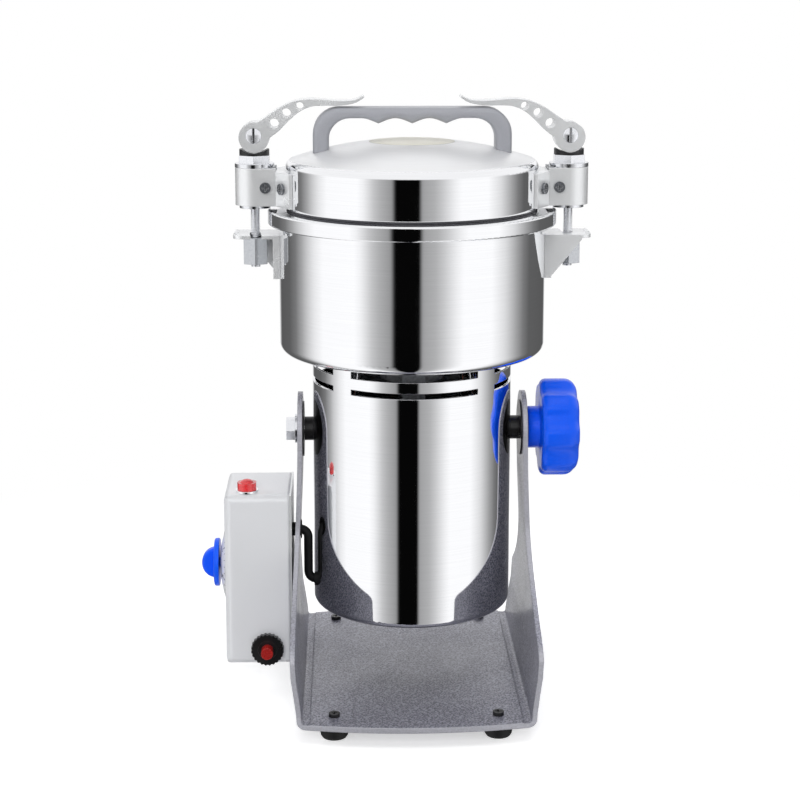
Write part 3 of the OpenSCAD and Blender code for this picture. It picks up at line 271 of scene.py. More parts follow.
# %% Group: grain, an even speckle for moulded plastic and rubber
def scaled_position(group, size_socket, stretch=(1, 1, 1)):
    """The object's own coordinates, divided by a size and stretched along each axis."""
    coordinates = place(group, "ShaderNodeTexCoord")
    stretched = place(group, "ShaderNodeVectorMath", {
        0: coordinates.outputs["Object"], 1: stretch}, operation="MULTIPLY")
    inverse = place(group, "ShaderNodeMath", {0: 1.0, 1: size_socket}, operation="DIVIDE")
    scaled = place(group, "ShaderNodeVectorMath", {
        0: stretched.outputs[0], "Scale": inverse.outputs[0]}, operation="SCALE")
    return scaled.outputs[0]


grain, entry, exit_ = start_group(
    "grain", [("Size", 0.001)], [("Tone", "Float"), ("Height", "Float")])
where = scaled_position(grain, entry.outputs["Size"])
noise = place(grain, "ShaderNodeTexNoise", {
    "Vector": where, "Scale": 1.0, "Detail": 3.0, "Roughness": 0.6})
spread = place(grain, "ShaderNodeMapRange", {
    "Value": noise.outputs[0], "From Min": 0.3, "From Max": 0.7})
grain.links.new(spread.outputs[0], exit_.inputs["Tone"])
grain.links.new(noise.outputs[0], exit_.inputs["Height"])
print("group", grain.name)

# %% Group: hammered paint, with shallow dimples and a fine light and dark speckle
hammered, entry, exit_ = start_group(
    "hammered paint", [("Size", 0.002)], [("Tone", "Float"), ("Height", "Float")])
where = scaled_position(hammered, entry.outputs["Size"])
warp = place(hammered, "ShaderNodeTexNoise", {"Vector": where, "Scale": 0.7, "Detail": 2.0})
bent = place(hammered, "ShaderNodeVectorMath", {
    0: warp.outputs["Color"], 1: (0.9, 0.9, 0.9), 2: where}, operation="MULTIPLY_ADD")
cells = place(hammered, "ShaderNodeTexVoronoi", {
    "Vector": bent.outputs[0], "Scale": 1.0, "Smoothness": 0.6}, feature="SMOOTH_F1")
speckle = place(hammered, "ShaderNodeTexNoise", {
    "Vector": where, "Scale": 2.2, "Detail": 5.0, "Roughness": 0.75})
both = place(hammered, "ShaderNodeMath", {
    0: speckle.outputs[0], 1: 0.82, 2: cells.outputs["Distance"]}, operation="MULTIPLY_ADD")
spread = place(hammered, "ShaderNodeMapRange", {
    "Value": both.outputs[0], "From Min": 0.55, "From Max": 1.15})
hammered.links.new(spread.outputs[0], exit_.inputs["Tone"])
hammered.links.new(both.outputs[0], exit_.inputs["Height"])
print("group", hammered.name)

# %% Group: turned lines, the fine rings that a polishing wheel leaves round a spun piece
turned, entry, exit_ = start_group(
    "turned lines", [("Size", 0.0006)], [("Tone", "Float"), ("Height", "Float")])
# Stretched flat, the noise becomes level rings round each piece's own axis
where = scaled_position(turned, entry.outputs["Size"], (0.012, 0.012, 1.0))
noise = place(turned, "ShaderNodeTexNoise", {
    "Vector": where, "Scale": 1.0, "Detail": 4.0, "Roughness": 0.65})
spread = place(turned, "ShaderNodeMapRange", {
    "Value": noise.outputs[0], "From Min": 0.3, "From Max": 0.7})
turned.links.new(spread.outputs[0], exit_.inputs["Tone"])
turned.links.new(noise.outputs[0], exit_.inputs["Height"])
print("group", turned.name)

# %% Group: smudges, slow patches where hands and cloths have dulled the surface
smudges, entry, exit_ = start_group("smudges", [("Size", 0.05)], [("Mask", "Float")])
where = scaled_position(smudges, entry.outputs["Size"])
noise = place(smudges, "ShaderNodeTexNoise", {
    "Vector": where, "Scale": 1.0, "Detail": 4.0, "Roughness": 0.55, "Distortion": 0.6})
spread = place(smudges, "ShaderNodeMapRange", {
    "Value": noise.outputs[0], "From Min": 0.35, "From Max": 0.72}, interpolation_type="SMOOTHSTEP")
smudges.links.new(spread.outputs[0], exit_.inputs["Mask"])
print("group", smudges.name)

# %% [markdown]
# The finishes. Each material mixes a darker and a lighter tone of its colour by one of the
# groups, lets smudges change how rough it is, and adds a bump. Painted and cast pieces also
# show a paler line along their edges, partly wear and partly a painted highlight.

# %% A maker for finishes
def make_finish(name, dark, light, texture, size, depth, rough, radius=0.4, bump=0.5,
                edge_wear_and_highlight=None, smudge=50, satin_top=None, cut_faces=None, **shader_values):
    """A material whose colour, roughness and bump vary; sizes are in millimetres.

    dark and light are its two tones, and texture the group that mixes them. rough holds the
    roughness of clean and of smudged spots. rubbed is the paler tone of the edges, partly wear
    and partly a painted highlight.
    """
    material = bpy.data.materials.new(name)
    material.use_nodes = True
    tree = material.node_tree
    tree.nodes.clear()
    pattern = place(tree, "ShaderNodeGroup", node_tree=texture)
    pattern.inputs["Size"].default_value = size * MM
    edges = place(tree, "ShaderNodeGroup", node_tree=rounded_edges)
    edges.inputs["Radius"].default_value = radius * MM
    dulled = place(tree, "ShaderNodeGroup", node_tree=smudges)
    dulled.inputs["Size"].default_value = smudge * MM
    colour = place(tree, "ShaderNodeMix", data_type="RGBA")
    colour.inputs[6].default_value = dark
    colour.inputs[7].default_value = light
    tree.links.new(pattern.outputs["Tone"], colour.inputs[0])
    colour_out = colour.outputs[2]
    # Pale edges: partly wear, and partly a painted highlight where a rounded edge catches light
    if edge_wear_and_highlight:
        edge_wear_and_highlight_mix = place(tree, "ShaderNodeMix", data_type="RGBA")
        edge_wear_and_highlight_mix.inputs[7].default_value = edge_wear_and_highlight
        edge_wear_and_highlight_mask = edges.outputs["Edge"]
        if cut_faces:
            # Only the faces that the cutter left, and their edges, are paler: not the bends
            across = place(tree, "ShaderNodeVectorMath", {
                0: edges.outputs["Normal"], 1: cut_faces}, operation="DOT_PRODUCT")
            facing_cut = place(tree, "ShaderNodeMath", {
                0: across.outputs["Value"]}, operation="ABSOLUTE")
            edge_wear_and_highlight_mask = place(tree, "ShaderNodeMapRange", {
                "Value": facing_cut.outputs[0], "From Min": 0.15, "From Max": 0.7, "To Max": 0.8},
                interpolation_type="SMOOTHSTEP").outputs[0]
        tree.links.new(edge_wear_and_highlight_mask, edge_wear_and_highlight_mix.inputs[0])
        tree.links.new(colour_out, edge_wear_and_highlight_mix.inputs[6])
        colour_out = edge_wear_and_highlight_mix.outputs[2]
    roughness = place(tree, "ShaderNodeMapRange", {
        "Value": dulled.outputs["Mask"], "To Min": rough[0], "To Max": rough[1]})
    rough_out = roughness.outputs[0]
    if satin_top:
        own_space = place(tree, "ShaderNodeTexCoord")
        upward = place(tree, "ShaderNodeSeparateXYZ", {0: own_space.outputs["Normal"]}).outputs["Z"]

        def by_slope(side_value, top_value):
            """A value that changes from the steep side to the nearly level top."""
            return place(tree, "ShaderNodeMapRange", {
                "Value": upward, "From Min": 0.80, "From Max": 0.93, "To Min": side_value,
                "To Max": top_value}, interpolation_type="SMOOTHSTEP").outputs[0]

        rough_out = place(tree, "ShaderNodeMath", {
            0: rough_out, 1: by_slope(rough[0], satin_top)}, operation="MAXIMUM").outputs[0]
    raised = place(tree, "ShaderNodeBump", {
        "Strength": bump, "Distance": depth * MM, "Height": pattern.outputs["Height"],
        "Normal": edges.outputs["Normal"]})
    shader = place(tree, "ShaderNodeBsdfPrincipled", {
        "Base Color": colour_out, "Roughness": rough_out, "Normal": raised.outputs[0]})
    for socket, value in shader_values.items():
        shader.inputs[socket.replace("_", " ")].default_value = value
    if satin_top:
        # A brushed top scatters light like paint and mirrors less
        tree.links.new(by_slope(1.0, 0.45), shader.inputs["Metallic"])
    place(tree, "ShaderNodeOutputMaterial", {"Surface": shader.outputs[0]})
    return material


print("finish maker ready")

# %% [markdown]
# Sixteen finishes, one for each slot of the parts list. The polished steel is nearly a
# mirror with the faintest turned lines. The yoke's grey hammered paint has a speckle about a
# millimetre wide. The plastics are smooth and bright, the rubber dull and black.
#
# After its name each finish states its darker and lighter tone, its pattern with the pattern's
# size and depth, and its roughness where clean and where smudged.

# %% Metal and paint
STEEL_DARK, STEEL_LIGHT = (0.885, 0.89, 0.90, 1), (0.93, 0.935, 0.945, 1)

# The paler edge tones below are partly wear and partly a painted highlight
finishes = {
    "polished": make_finish(
        "polished steel", STEEL_DARK, STEEL_LIGHT, turned, 0.6, 0.001, (0.035, 0.07),
        radius=0.5, bump=0.12, smudge=70, Metallic=1.0),
    "steel": make_finish(
        "machined steel", srgb(0.88, 0.89, 0.905), srgb(0.95, 0.95, 0.96), grain, 0.6, 0.006,
        (0.11, 0.20), radius=0.35, bump=0.2, smudge=20, Metallic=1.0),
    "casting": make_finish(
        "cast aluminium", srgb(0.58, 0.59, 0.61), srgb(0.72, 0.73, 0.75), grain, 1.8, 0.15,
        (0.42, 0.6), Metallic=1.0),
    "hammertone": make_finish(
        "hammered grey paint", srgb(0.23, 0.23, 0.275), srgb(0.66, 0.66, 0.715), hammered, 1.1,
        0.12, (0.28, 0.42), radius=1.4, edge_wear_and_highlight=srgb(0.74, 0.74, 0.77), cut_faces=(0, 1, 0),
        Metallic=0.2, Coat_Weight=0.25, Coat_Roughness=0.2),
    "box_paint": make_finish(
        "silver paint", srgb(0.895, 0.90, 0.915), srgb(0.945, 0.95, 0.96), grain, 0.35, 0.01,
        (0.30, 0.40), radius=3.0, Metallic=0.1, Coat_Weight=0.3, Coat_Roughness=0.15),
    "copper": make_finish(
        "copper winding", srgb(0.60, 0.28, 0.14), srgb(0.86, 0.48, 0.28), turned, 0.8, 0.2,
        (0.25, 0.4), Metallic=1.0),
    "laminations": make_finish(
        "steel laminations", srgb(0.32, 0.32, 0.34), srgb(0.55, 0.55, 0.57), turned, 0.5, 0.2,
        (0.35, 0.5), Metallic=1.0),
}
print(len(finishes), "finishes of metal and paint")

# %% Rubber, plastic and carbon
# The paler edge tones below are partly wear and partly a painted highlight
finishes.update({
    "black_rubber": make_finish(
        "black rubber", srgb(0.03, 0.03, 0.035), srgb(0.08, 0.08, 0.085), grain, 0.6, 0.03,
        (0.5, 0.7), edge_wear_and_highlight=srgb(0.13, 0.13, 0.13), Specular_IOR_Level=0.3),
    "black_plastic": make_finish(
        "black plastic", srgb(0.05, 0.05, 0.055), srgb(0.11, 0.11, 0.115), grain, 0.45, 0.02,
        (0.25, 0.42), edge_wear_and_highlight=srgb(0.22, 0.22, 0.23)),
    "seal_silicone": make_finish(
        "dark silicone", srgb(0.20, 0.20, 0.22), srgb(0.28, 0.28, 0.30), grain, 0.8, 0.02,
        (0.45, 0.6)),
    "dial_plastic": make_finish(
        "white plastic", srgb(0.86, 0.86, 0.87), srgb(0.92, 0.92, 0.925), grain, 0.5, 0.01,
        (0.25, 0.38)),
    "blue_plastic": make_finish(
        "blue plastic", srgb(0.0, 0.33, 0.96), srgb(0.01, 0.38, 1.0), grain, 0.5, 0.006,
        (0.30, 0.42), radius=0.8, edge_wear_and_highlight=srgb(0.12, 0.45, 1.0), Specular_IOR_Level=0.2,
        Coat_Weight=0.3, Coat_Roughness=0.12),
    "grey_plastic": make_finish(
        "grey plastic", srgb(0.63, 0.637, 0.665), srgb(0.67, 0.675, 0.70), grain, 0.4, 0.015,
        (0.34, 0.46), radius=0.8),
    "red_lens": make_finish(
        "red lens", srgb(0.93, 0.20, 0.22), srgb(1.0, 0.32, 0.34), grain, 1.0, 0.01,
        (0.06, 0.14), radius=0.5, Transmission_Weight=0.35, IOR=1.49, Coat_Weight=0.6),
    "red_plastic": make_finish(
        "red plastic", srgb(0.60, 0.08, 0.07), srgb(0.70, 0.12, 0.10), grain, 0.5, 0.01,
        (0.25, 0.35), radius=0.5, edge_wear_and_highlight=srgb(0.85, 0.25, 0.20)),
    "carbon": make_finish(
        "pressed carbon", srgb(0.07, 0.07, 0.07), srgb(0.16, 0.16, 0.16), grain, 0.5, 0.05,
        (0.6, 0.8)),
})
cream_label = make_finish(
    "cream paper", srgb(0.93, 0.92, 0.87), srgb(0.97, 0.96, 0.92), grain, 0.4, 0.01, (0.4, 0.5))
print(len(finishes), "finishes in all")

# %% [markdown]
# Some pieces wear a slot's finish in their own way. The lid's dome is brushed dull while its
# side is a mirror. The small screws are steel painted dark, as painted shade for their cross
# recesses, with a painted highlight round their edges, and the long nuts a greyer steel. The
# flat clamp pieces and the box's back plate are satin nickel.

# %% Dress the solids
own_finish = {
    "lid_shell": make_finish(
        "lid steel", STEEL_DARK, STEEL_LIGHT, turned, 0.6, 0.001, (0.035, 0.07), radius=0.5,
        bump=0.12, smudge=70, satin_top=0.34, Metallic=1.0),
    # The screws' dark tone is painted shade for their cross recesses, their near-white edge tone a
    # painted highlight
    "lid_screws": make_finish(
        "screw steel with painted shade", srgb(0.36, 0.37, 0.39), srgb(0.50, 0.51, 0.53), grain, 0.8, 0.01,
        (0.2, 0.3), radius=0.3, bump=0.3, smudge=8, edge_wear_and_highlight=srgb(0.97, 0.97, 0.97), Metallic=0.6),
}
satin_nickel = make_finish(
    "satin nickel", srgb(0.93, 0.935, 0.94), srgb(0.965, 0.97, 0.975), grain, 0.5, 0.006,
    (0.20, 0.28), radius=0.5, bump=0.2, smudge=25, Metallic=0.45)
nut_steel = make_finish(
    "nut steel", srgb(0.70, 0.71, 0.73), srgb(0.80, 0.81, 0.82), grain, 0.6, 0.006,
    (0.12, 0.22), radius=0.35, bump=0.2, smudge=15, Metallic=1.0)
for node in ("lever_left", "lever_right", "clamp_straps", "clamp_brackets", "lid_lugs",
             "box_backplate"):
    own_finish[node] = satin_nickel
for node in ("nut_left", "nut_right"):
    own_finish[node] = nut_steel
for part in frame["record"]["subparts"]:
    mesh = nodes[part["node"]].data
    mesh.materials.clear()
    mesh.materials.append(own_finish.get(part["node"], finishes[part["material_slot"]]))
print(len(nodes), "nodes dressed,", len(own_finish), "of them in their own way")

# %% [markdown]
# The softer pieces. The solids have the right sizes but knife edges, and a moulded handle or
# knob needs rounded ones. Each of these meshes is a skin stretched over a row of rings, which
# suits anything that was moulded in one go, and it takes the place of its solid.

# %% Helpers that stretch a skin over rings
def skin(rings, closed=True):
    """Corner points and faces of a skin over rings of equal length, closed at both ends."""
    count = len(rings[0])
    points = [point for ring in rings for point in ring]
    faces = []
    for row in range(len(rings) - 1):
        for i in range(count):
            a, b = row * count + i, row * count + (i + 1) % count
            faces.append((a, b, b + count, a + count))
    if closed:
        last = (len(rings) - 1) * count
        faces.append(tuple(reversed(range(count))))
        faces.append(tuple(range(last, last + count)))
    return points, faces


def make_piece(name, skins, body, slot, stands_for=None, finish=None, crease=38):
    """One mesh object from several skins, in millimetres, that rides on a body."""
    builder = bmesh.new()
    for points, faces in skins:
        corners = [builder.verts.new(Vector(p) * MM) for p in points]
        for face in faces:
            builder.faces.new([corners[i] for i in face])
    bmesh.ops.recalc_face_normals(builder, faces=builder.faces)
    mesh = bpy.data.meshes.new(name)
    builder.to_mesh(mesh)
    builder.free()
    mesh.shade_smooth()
    mesh.set_sharp_from_angle(angle=math.radians(crease))
    mesh.materials.append(finish or finishes[slot])
    piece = bpy.data.objects.new(name, mesh)
    bpy.context.scene.collection.objects.link(piece)
    if body:
        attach(piece, body)
    if stands_for:
        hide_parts(stands_for)
    return piece


def circle(radius, count=48):
    """Points of a circle in its own flat plane."""
    return [(radius * math.cos(math.tau * i / count), radius * math.sin(math.tau * i / count))
            for i in range(count)]


def rounded(width, height, radius, steps=4):
    """Points of a rectangle with round corners in its own flat plane."""
    points = []
    for corner, (sx, sy) in enumerate([(1, 1), (-1, 1), (-1, -1), (1, -1)]):
        for step in range(steps + 1):
            turn = math.radians(90 * (corner + step / steps))
            points.append((sx * (width / 2 - radius) + radius * math.cos(turn),
                           sy * (height / 2 - radius) + radius * math.sin(turn)))
    return points


def edge_steps(radius, steps=5):
    """Pairs of (how far in, how far along) that round an edge, from its side to its end face."""
    return [(radius * (1 - math.cos(math.radians(90 * s / steps))),
             radius * math.sin(math.radians(90 * s / steps))) for s in range(steps + 1)]


print("a rounded rectangle has", len(rounded(2, 1, 0.2)), "points")

# %% [markdown]
# The handle. The real one is a moulded bar with four hollows for the fingers and a soft edge
# all the way round. It could be a curve with a bevel object, but its thickness changes along
# the way. So a rounded rectangle walks from one foot to the other, and at each stop it spans
# the distance between the outer and the inner line of the handle. The feet end on the dome.

# %% Handle
HANDLE_WIDE, HANDLE_DEEP, HANDLE_LEG, HANDLE_TOP = 122, 22, 9.8, 371.7
HANDLE_THIN, HANDLE_SOFT, HOLLOW_DIP = 6.4, 3.4, 3.2
OUTER_CORNER, INNER_CORNER = 16, 13
DOME_CENTRE, DOME_RADIUS = 112, 240
# Straight stretches between the corner and the middle of the grip
GRIP_STOPS = 44
half_out = HANDLE_WIDE / 2
half_in = half_out - HANDLE_LEG
hollow_pitch = (2 * half_in - 19.4) / 4


def hollow_drop(x):
    """How far the underside hangs below the top of the nearest finger hollow."""
    across = abs(x) / hollow_pitch
    if across > 1.5:
        return 0
    share = abs(across - math.floor(across) - 0.5) * 2
    return HOLLOW_DIP * (0.35 * (1 - math.cos(math.pi * share)) / 2 + 0.65 * share ** 2)


def on_dome(x, y, lift=0.0):
    """The dome's height under a point."""
    return DOME_CENTRE + math.sqrt((DOME_RADIUS + lift) ** 2 - x * x - y * y)


def handle_lines():
    """Pairs of points on the outer and inner line, from the left foot to the middle."""
    pairs = [((-half_out, 342.5), (-half_in, 342.5)), ((-half_out, 347.5), (-half_in, 348.8))]
    for step in range(9):
        turn = math.radians(180 - 90 * step / 8)
        pairs.append((
            (-half_out + OUTER_CORNER * (1 + math.cos(turn)),
             HANDLE_TOP - OUTER_CORNER * (1 - math.sin(turn))),
            (-half_in + INNER_CORNER * (1 + math.cos(turn)),
             HANDLE_TOP - HANDLE_THIN - INNER_CORNER * (1 - math.sin(turn)))))
    outer_start, inner_start = OUTER_CORNER - half_out, INNER_CORNER - half_in
    for step in range(1, GRIP_STOPS + 1):
        share = step / GRIP_STOPS
        x_in = inner_start * (1 - share)
        pairs.append(((outer_start * (1 - share), HANDLE_TOP),
                      (x_in, HANDLE_TOP - HANDLE_THIN - hollow_drop(x_in))))
    return pairs


left_half = handle_lines()
mirrored = [((-a[0], a[1]), (-b[0], b[1])) for a, b in reversed(left_half[:-1])]
rings = []
for outer, inner in left_half + mirrored:
    middle = ((outer[0] + inner[0]) / 2, (outer[1] + inner[1]) / 2)
    thick = math.dist(outer, inner)
    inward = ((inner[0] - outer[0]) / thick, (inner[1] - outer[1]) / thick)
    rings.append([(middle[0] + inward[0] * a, b, middle[1] + inward[1] * a)
                  for a, b in rounded(thick, HANDLE_DEEP, min(HANDLE_SOFT, thick * 0.45))])
for ring in (rings[0], rings[-1]):
    ring[:] = [(x, y, on_dome(x, y, 0.05)) for x, y, _ in ring]
make_piece("lid_handle_moulded", [skin(rings)], "lid", "grey_plastic", "lid_handle")
print("handle:", len(rings), "rings; top at", HANDLE_TOP, "mm")

# %% [markdown]
# The star knob that locks the tilt. Its outline is a circle with eight round bites, and every
# edge is rounded. Rings with that outline shrink towards the front and back faces.

# %% Star knob
KNOB_AXIS_Z, KNOB_RADIUS, KNOB_LOBES = 168.5, 31, 8
BITE_RADIUS, BITE_CENTRE = 14, 42.2
HUB_RADIUS, HUB_START, DISC_START, DISC_END = 13.3, 73.2, 80.95, 104.5
BACK_ROUND, FRONT_ROUND = 4, 8
OUTLINE_POINTS, SOFTENING_PASSES = 256, 6


def lobed_outline():
    """The knob's radius all the way round, with the corners of the bites softened."""
    radii = []
    for i in range(OUTLINE_POINTS):
        turn = (i / OUTLINE_POINTS * KNOB_LOBES) % 1 - 0.5
        off = turn * math.tau / KNOB_LOBES
        reach = BITE_RADIUS ** 2 - (BITE_CENTRE * math.sin(off)) ** 2
        bite = BITE_CENTRE * math.cos(off) - math.sqrt(reach) if reach > 0 else KNOB_RADIUS
        radii.append(min(KNOB_RADIUS, bite))
    for _ in range(SOFTENING_PASSES):
        radii = [(radii[i - 1] + 2 * radii[i] + radii[(i + 1) % OUTLINE_POINTS]) / 4
                 for i in range(OUTLINE_POINTS)]
    return radii


outline = lobed_outline()


def knob_ring(x, inset, lobed, round_radius=0.0):
    """A ring across the knob's axis; lobed runs from 0, a circle, to 1, the full outline."""
    ring = []
    for i, radius in enumerate(outline):
        r = lobed * (radius - inset) + (1 - lobed) * round_radius
        turn = math.tau * i / OUTLINE_POINTS
        ring.append((x, r * math.cos(turn), KNOB_AXIS_Z + r * math.sin(turn)))
    return ring


rings = [knob_ring(HUB_START, 0, 0, 11.8), knob_ring(HUB_START + 0.3, 0, 0, 12.8),
         knob_ring(HUB_START + 1.1, 0, 0, HUB_RADIUS),
         knob_ring(DISC_START - 1.2, 0, 0, HUB_RADIUS),
         knob_ring(DISC_START - 0.4, 0, 0, HUB_RADIUS + 0.3),
         knob_ring(DISC_START, 0, 0, HUB_RADIUS + 1.2), knob_ring(DISC_START, 7.5, 0.8, 20)]
rings += [knob_ring(DISC_START + BACK_ROUND - along, inset, 1)
          for inset, along in reversed(edge_steps(BACK_ROUND))]
rings += [knob_ring(DISC_END - FRONT_ROUND + along, inset, 1)
          for inset, along in edge_steps(FRONT_ROUND, 8)]
rings += [knob_ring(DISC_END, 11, 0.9, 17), knob_ring(DISC_END, 0, 0, 15),
          knob_ring(DISC_END - 0.5, 0, 0, 14.4), knob_ring(DISC_END - 0.5, 0, 0, 5)]
make_piece("tilt_knob_moulded", [skin(rings)], "tilt_knob", "blue_plastic", "tilt_knob")
print("star knob:", KNOB_LOBES, "lobes on", OUTLINE_POINTS, "points")

# %% [markdown]
# The timer knob: a thin skirt with a half-round grip across it. The grip could be cut from a
# ball, but rings that follow the half circle keep its flat sides and their soft edges. A fine
# white line on the skirt shows where the knob points.

# %% Timer knob
TIMER_AXIS_Z, TIMER_FACE, TIMER_RADIUS, SKIRT_THICK = 80.5, -123.15, 15.4, 3.3
GRIP_TALL, GRIP_WIDE, GRIP_HALF = 8.2, 7.2, 9.7
SKIRT_SOFT, GRIP_SOFT = 1.2, 1.6
STEM_RADIUS, STEM_FROM, STEM_TO = 3, -123.2, -111.2


def timer_circle(x, radius, count=72):
    """A ring across the timer's axis."""
    return [(x, a, TIMER_AXIS_Z + b) for a, b in circle(radius, count)]


skirt_front = TIMER_FACE - SKIRT_THICK
skirt = [timer_circle(TIMER_FACE, 3), timer_circle(TIMER_FACE, TIMER_RADIUS - 0.4),
         timer_circle(TIMER_FACE - 0.4, TIMER_RADIUS)]
skirt += [timer_circle(skirt_front + SKIRT_SOFT - along, TIMER_RADIUS - inset)
          for inset, along in edge_steps(SKIRT_SOFT)]
skirt.append(timer_circle(skirt_front, 2))
grip = []
soft_side = [(inset, GRIP_WIDE / 2 - GRIP_SOFT + along) for inset, along in edge_steps(GRIP_SOFT)]
for inset, side in [(i, -s) for i, s in reversed(soft_side)] + soft_side:
    arc = [math.pi * step / 24 for step in range(25)]
    grip.append([(skirt_front + 0.6 - (GRIP_TALL + 0.6 - inset) * math.sin(a), side,
                  TIMER_AXIS_Z + (GRIP_HALF - inset) * math.cos(a)) for a in arc])
stem = [[(x, a, TIMER_AXIS_Z + b) for a, b in circle(STEM_RADIUS, 24)]
        for x in (STEM_FROM, STEM_TO)]
make_piece("timer_knob_moulded", [skin(skirt), skin(grip), skin(stem)], "timer_knob",
           "blue_plastic", "timer_knob")
pointer_ends = [(skirt_front - 0.08, y, TIMER_AXIS_Z + z) for y, z in
                ((-0.35, 10.6), (0.35, 10.6), (0.35, 14.2), (-0.35, 14.2))]
pointer_back = [(skirt_front + 0.2, y, z) for _, y, z in pointer_ends]
make_piece("timer_pointer_line", [skin([pointer_back, pointer_ends])], "timer_knob", "dial_plastic")
print("timer knob stands", round(GRIP_TALL + SKIRT_THICK, 1), "mm off the dial")

# %% [markdown]
# The dial's print. The disc is a shallow dome, so each minute mark is a thin raised strip laid
# along it, and each number is flat text turned to its slope and made into a mesh. The timer
# runs for half an hour, so the numbers go round in fives. Thirty marks are two and a half
# times as far apart as on a clock's hour dial, and every fifth is longer.

# %% Dial marks
DIAL_BACK, DIAL_THICK, DIAL_DOME = -118.35, 4.5, 72
MINUTES, SWEEP = 30, 300
MARKS_END, LONG_MARK_START, SHORT_MARK_START = 24.4, 21.6, 22.8
LONG_MARK_HALF, SHORT_MARK_HALF = 0.28, 0.16
NUMBER_RADIUS, NUMBER_SIZE, PRINT_LIFT = 19.2, 3.4, 0.08


def dial_face(radius, lift):
    """The X of the domed dial at a distance from its axis, lifted a little off it."""
    return DIAL_BACK - (DIAL_THICK - DIAL_DOME + math.sqrt(DIAL_DOME ** 2 - radius ** 2)) - lift


def dial_turn(minute):
    """The compass direction of a minute, from straight up."""
    return math.radians(SWEEP * minute / MINUTES)


strips = []
for minute in range(MINUTES + 1):
    start = SHORT_MARK_START if minute % 5 else LONG_MARK_START
    half = SHORT_MARK_HALF if minute % 5 else LONG_MARK_HALF
    turn = dial_turn(minute)
    along, across = (-math.sin(turn), math.cos(turn)), (math.cos(turn), math.sin(turn))
    rings = []
    for radius in (start, (start + MARKS_END) / 2, MARKS_END):
        rings.append([(dial_face(radius, lift), along[0] * radius + across[0] * side,
                       TIMER_AXIS_Z + along[1] * radius + across[1] * side)
                      for lift, side in ((-0.1, -half), (PRINT_LIFT, -half),
                                         (PRINT_LIFT, half), (-0.1, half))])
    strips.append(skin(rings))
make_piece("timer_dial_marks", strips, "stand", "black_plastic")
print("dial:", len(strips), "marks")

# %% Dial numbers
digits = bmesh.new()
for minute in range(0, MINUTES + 1, 5):
    text = bpy.data.curves.new("number", "FONT")
    text.body = str(minute)
    text.size = NUMBER_SIZE * MM
    text.extrude = PRINT_LIFT * MM
    text.align_x = "CENTER"
    text.align_y = "CENTER"
    text.resolution_u = 3
    number = bpy.data.objects.new("number", text)
    bpy.context.scene.collection.objects.link(number)
    shaped = number.evaluated_get(bpy.context.evaluated_depsgraph_get())
    flat = bpy.data.meshes.new_from_object(shaped)
    turn = dial_turn(minute)
    right = Vector((0, -1, 0))
    outward = Vector((0, -math.sin(turn), math.cos(turn)))
    slope = math.asin(NUMBER_RADIUS / DIAL_DOME)
    face = Vector((-math.cos(slope), 0, 0)) + outward * math.sin(slope)
    upright = (Vector((0, 0, 1)) - face * face.z).normalized()
    sideways = upright.cross(face)
    spin = Matrix((sideways, upright, face)).transposed().to_4x4()
    centre = Vector((dial_face(NUMBER_RADIUS, 0.02), outward.y * NUMBER_RADIUS,
                     TIMER_AXIS_Z + outward.z * NUMBER_RADIUS)) * MM
    flat.transform(Matrix.Translation(centre) @ spin)
    digits.from_mesh(flat)
    bpy.data.objects.remove(number)
number_mesh = bpy.data.meshes.new("timer_dial_numbers")
digits.to_mesh(number_mesh)
digits.free()
number_mesh.materials.append(finishes["black_plastic"])
numbers = bpy.data.objects.new("timer_dial_numbers", number_mesh)
bpy.context.scene.collection.objects.link(numbers)
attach(numbers, "stand")
print("dial:", MINUTES // 5 + 1, "numbers")

# %% [markdown]
# The clamp studs are M6 rods with a rolled thread, and the thread catches the light below the
# straps. A thread is a spiral, so the radius of each ring swings with its height and its turn.
# The cross pin at the top carries the lever. A screwdriver slot is left between the two
# raised halves of each of its ends.

# %% Threaded clamp studs
STUD_X, STUD_RADIUS, STUD_BOTTOM = 97.2, 3, 272.85
THREAD_TOP, THREAD_PITCH, THREAD_DEEP, RINGS_PER_TURN = 312, 1.0, 0.5, 6
PIN_Z, PIN_RADIUS, PIN_HALF, SLOT_DEEP, SLOT_HALF = 354.6, 4.8, 8.6, 1.3, 0.8


def threaded_rod(bottom, top, end):
    """Rings of a thread from bottom to top, with a plain rod above it."""
    count = 24
    rings = []
    steps = round((top - bottom) / THREAD_PITCH * RINGS_PER_TURN)
    for step in range(steps + 1):
        z = bottom + step * THREAD_PITCH / RINGS_PER_TURN
        fade = min(1.0, (top - z) / 2, (z - bottom) / 1.2 + 0.05)
        ring = []
        for i in range(count):
            phase = (z / THREAD_PITCH - i / count) % 1
            radius = STUD_RADIUS - THREAD_DEEP * (abs(2 * phase - 1) * fade + 0.3 * (1 - fade))
            ring.append((STUD_X + radius * math.cos(math.tau * i / count),
                         radius * math.sin(math.tau * i / count), z))
        rings.append(ring)
    for z in (top + 0.3, end):
        rings.append([(STUD_X + a, b, z) for a, b in circle(STUD_RADIUS, count)])
    return rings


def cross_pin():
    """The skins of the pin and of the two raised halves at each end, either side of a slot."""
    body_half = PIN_HALF - SLOT_DEEP
    skins = [skin([[(STUD_X + a, y, PIN_Z + b) for a, b in circle(PIN_RADIUS)]
                   for y in (-body_half, body_half)])]
    for end in (-1, 1):
        for half in (-1, 1):
            rings = []
            for radius, y in ((PIN_RADIUS, body_half - 0.1), (PIN_RADIUS, PIN_HALF - 0.4),
                              (PIN_RADIUS - 0.4, PIN_HALF)):
                open_turn = math.acos(SLOT_HALF / radius)
                turns = [open_turn * (2 * i / 20 - 1) for i in range(21)]
                rings.append([(STUD_X + half * radius * math.cos(t), end * y,
                               PIN_Z + radius * math.sin(t)) for t in turns])
            skins.append(skin(rings))
    return skins


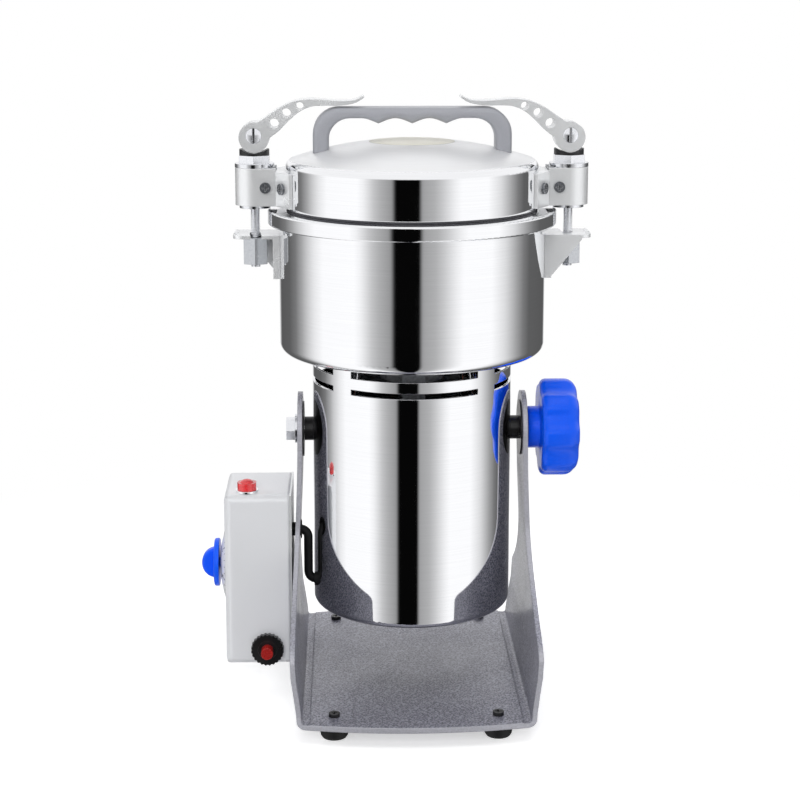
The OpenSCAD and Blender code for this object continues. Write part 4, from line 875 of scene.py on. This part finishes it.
stud_skins = [skin(threaded_rod(STUD_BOTTOM, THREAD_TOP, PIN_Z))] + cross_pin()
for side, turn in (("right", 1), ("left", -1)):
    turned_skins = [([(turn * x, turn * y, z) for x, y, z in points], faces)
                    for points, faces in stud_skins]
    node = "stud_" + side
    make_piece(node + "_threaded", turned_skins, node, "steel", node, crease=50)
print("studs: M6, pitch", THREAD_PITCH, "mm, thread up to", THREAD_TOP)

# %% [markdown]
# The lead to the motor. It leaves the arm, bends down, and bends again into the motor. Here
# it is a tube of rings along its path, and it rides on no body.

# %% Motor lead
LEAD_RADIUS, LEAD_BEND, LEAD_Y = 2.8, 5.2, -14
LEAD_X, LEAD_TOP, LEAD_LOW, LEAD_START, LEAD_END = -66, 106.5, 73.5, -83.5, -49.8


def lead_path():
    """Points of the lead's middle line with the direction in which it runs there."""
    path = [((x, LEAD_TOP), (1, 0)) for x in (LEAD_START, LEAD_X - LEAD_BEND)]
    for step in range(1, 9):
        turn = math.radians(90 - 90 * step / 8)
        path.append(((LEAD_X - LEAD_BEND * (1 - math.cos(turn)),
                      LEAD_TOP - LEAD_BEND * (1 - math.sin(turn))),
                     (math.sin(turn), -math.cos(turn))))
    straight = LEAD_TOP - LEAD_LOW - 2 * LEAD_BEND
    for step in range(1, 8):
        path.append(((LEAD_X, LEAD_TOP - LEAD_BEND - straight * step / 8), (0, -1)))
    for step in range(0, 9):
        turn = math.radians(180 + 90 * step / 8)
        path.append(((LEAD_X + LEAD_BEND * (1 + math.cos(turn)),
                      LEAD_LOW + LEAD_BEND * (1 + math.sin(turn))),
                     (-math.sin(turn), math.cos(turn))))
    path.append(((LEAD_END, LEAD_LOW), (1, 0)))
    return path


rings = []
for (x, z), (dx, dz) in lead_path():
    rings.append([(x - dz * a, LEAD_Y + b, z + dx * a) for a, b in circle(LEAD_RADIUS, 24)])
lead = make_piece("motor_lead_sleeve", [skin(rings)], None, "black_rubber", "motor_lead")
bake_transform(lead)
print("lead:", len(rings), "rings of", 2 * LEAD_RADIUS, "mm")

# %% [markdown]
# A bare label. A thin cream disc lies on the dome under the handle, with nothing on it. Its
# rings follow the dome, a tenth of a millimetre above the steel.

# %% Bare label on the lid
LABEL_RADIUS, LABEL_THICK, LABEL_LIFT = 26.5, 0.15, 0.02
under_side = [(radius, LABEL_LIFT) for radius in (2, 15, LABEL_RADIUS)]
soft_rim = [(LABEL_RADIUS, LABEL_THICK - 0.04), (LABEL_RADIUS - 0.1, LABEL_THICK)]
upper_side = [(radius, LABEL_THICK) for radius in (20, 11, 2)]
label_rings = []
for radius, lift in under_side + soft_rim + upper_side:
    label_rings.append([(x, y, on_dome(x, y, lift)) for x, y in circle(radius, 96)])
make_piece("lid_bare_label", [skin(label_rings)], "lid", "dial_plastic", finish=cream_label)
print("label:", 2 * LABEL_RADIUS, "mm across")
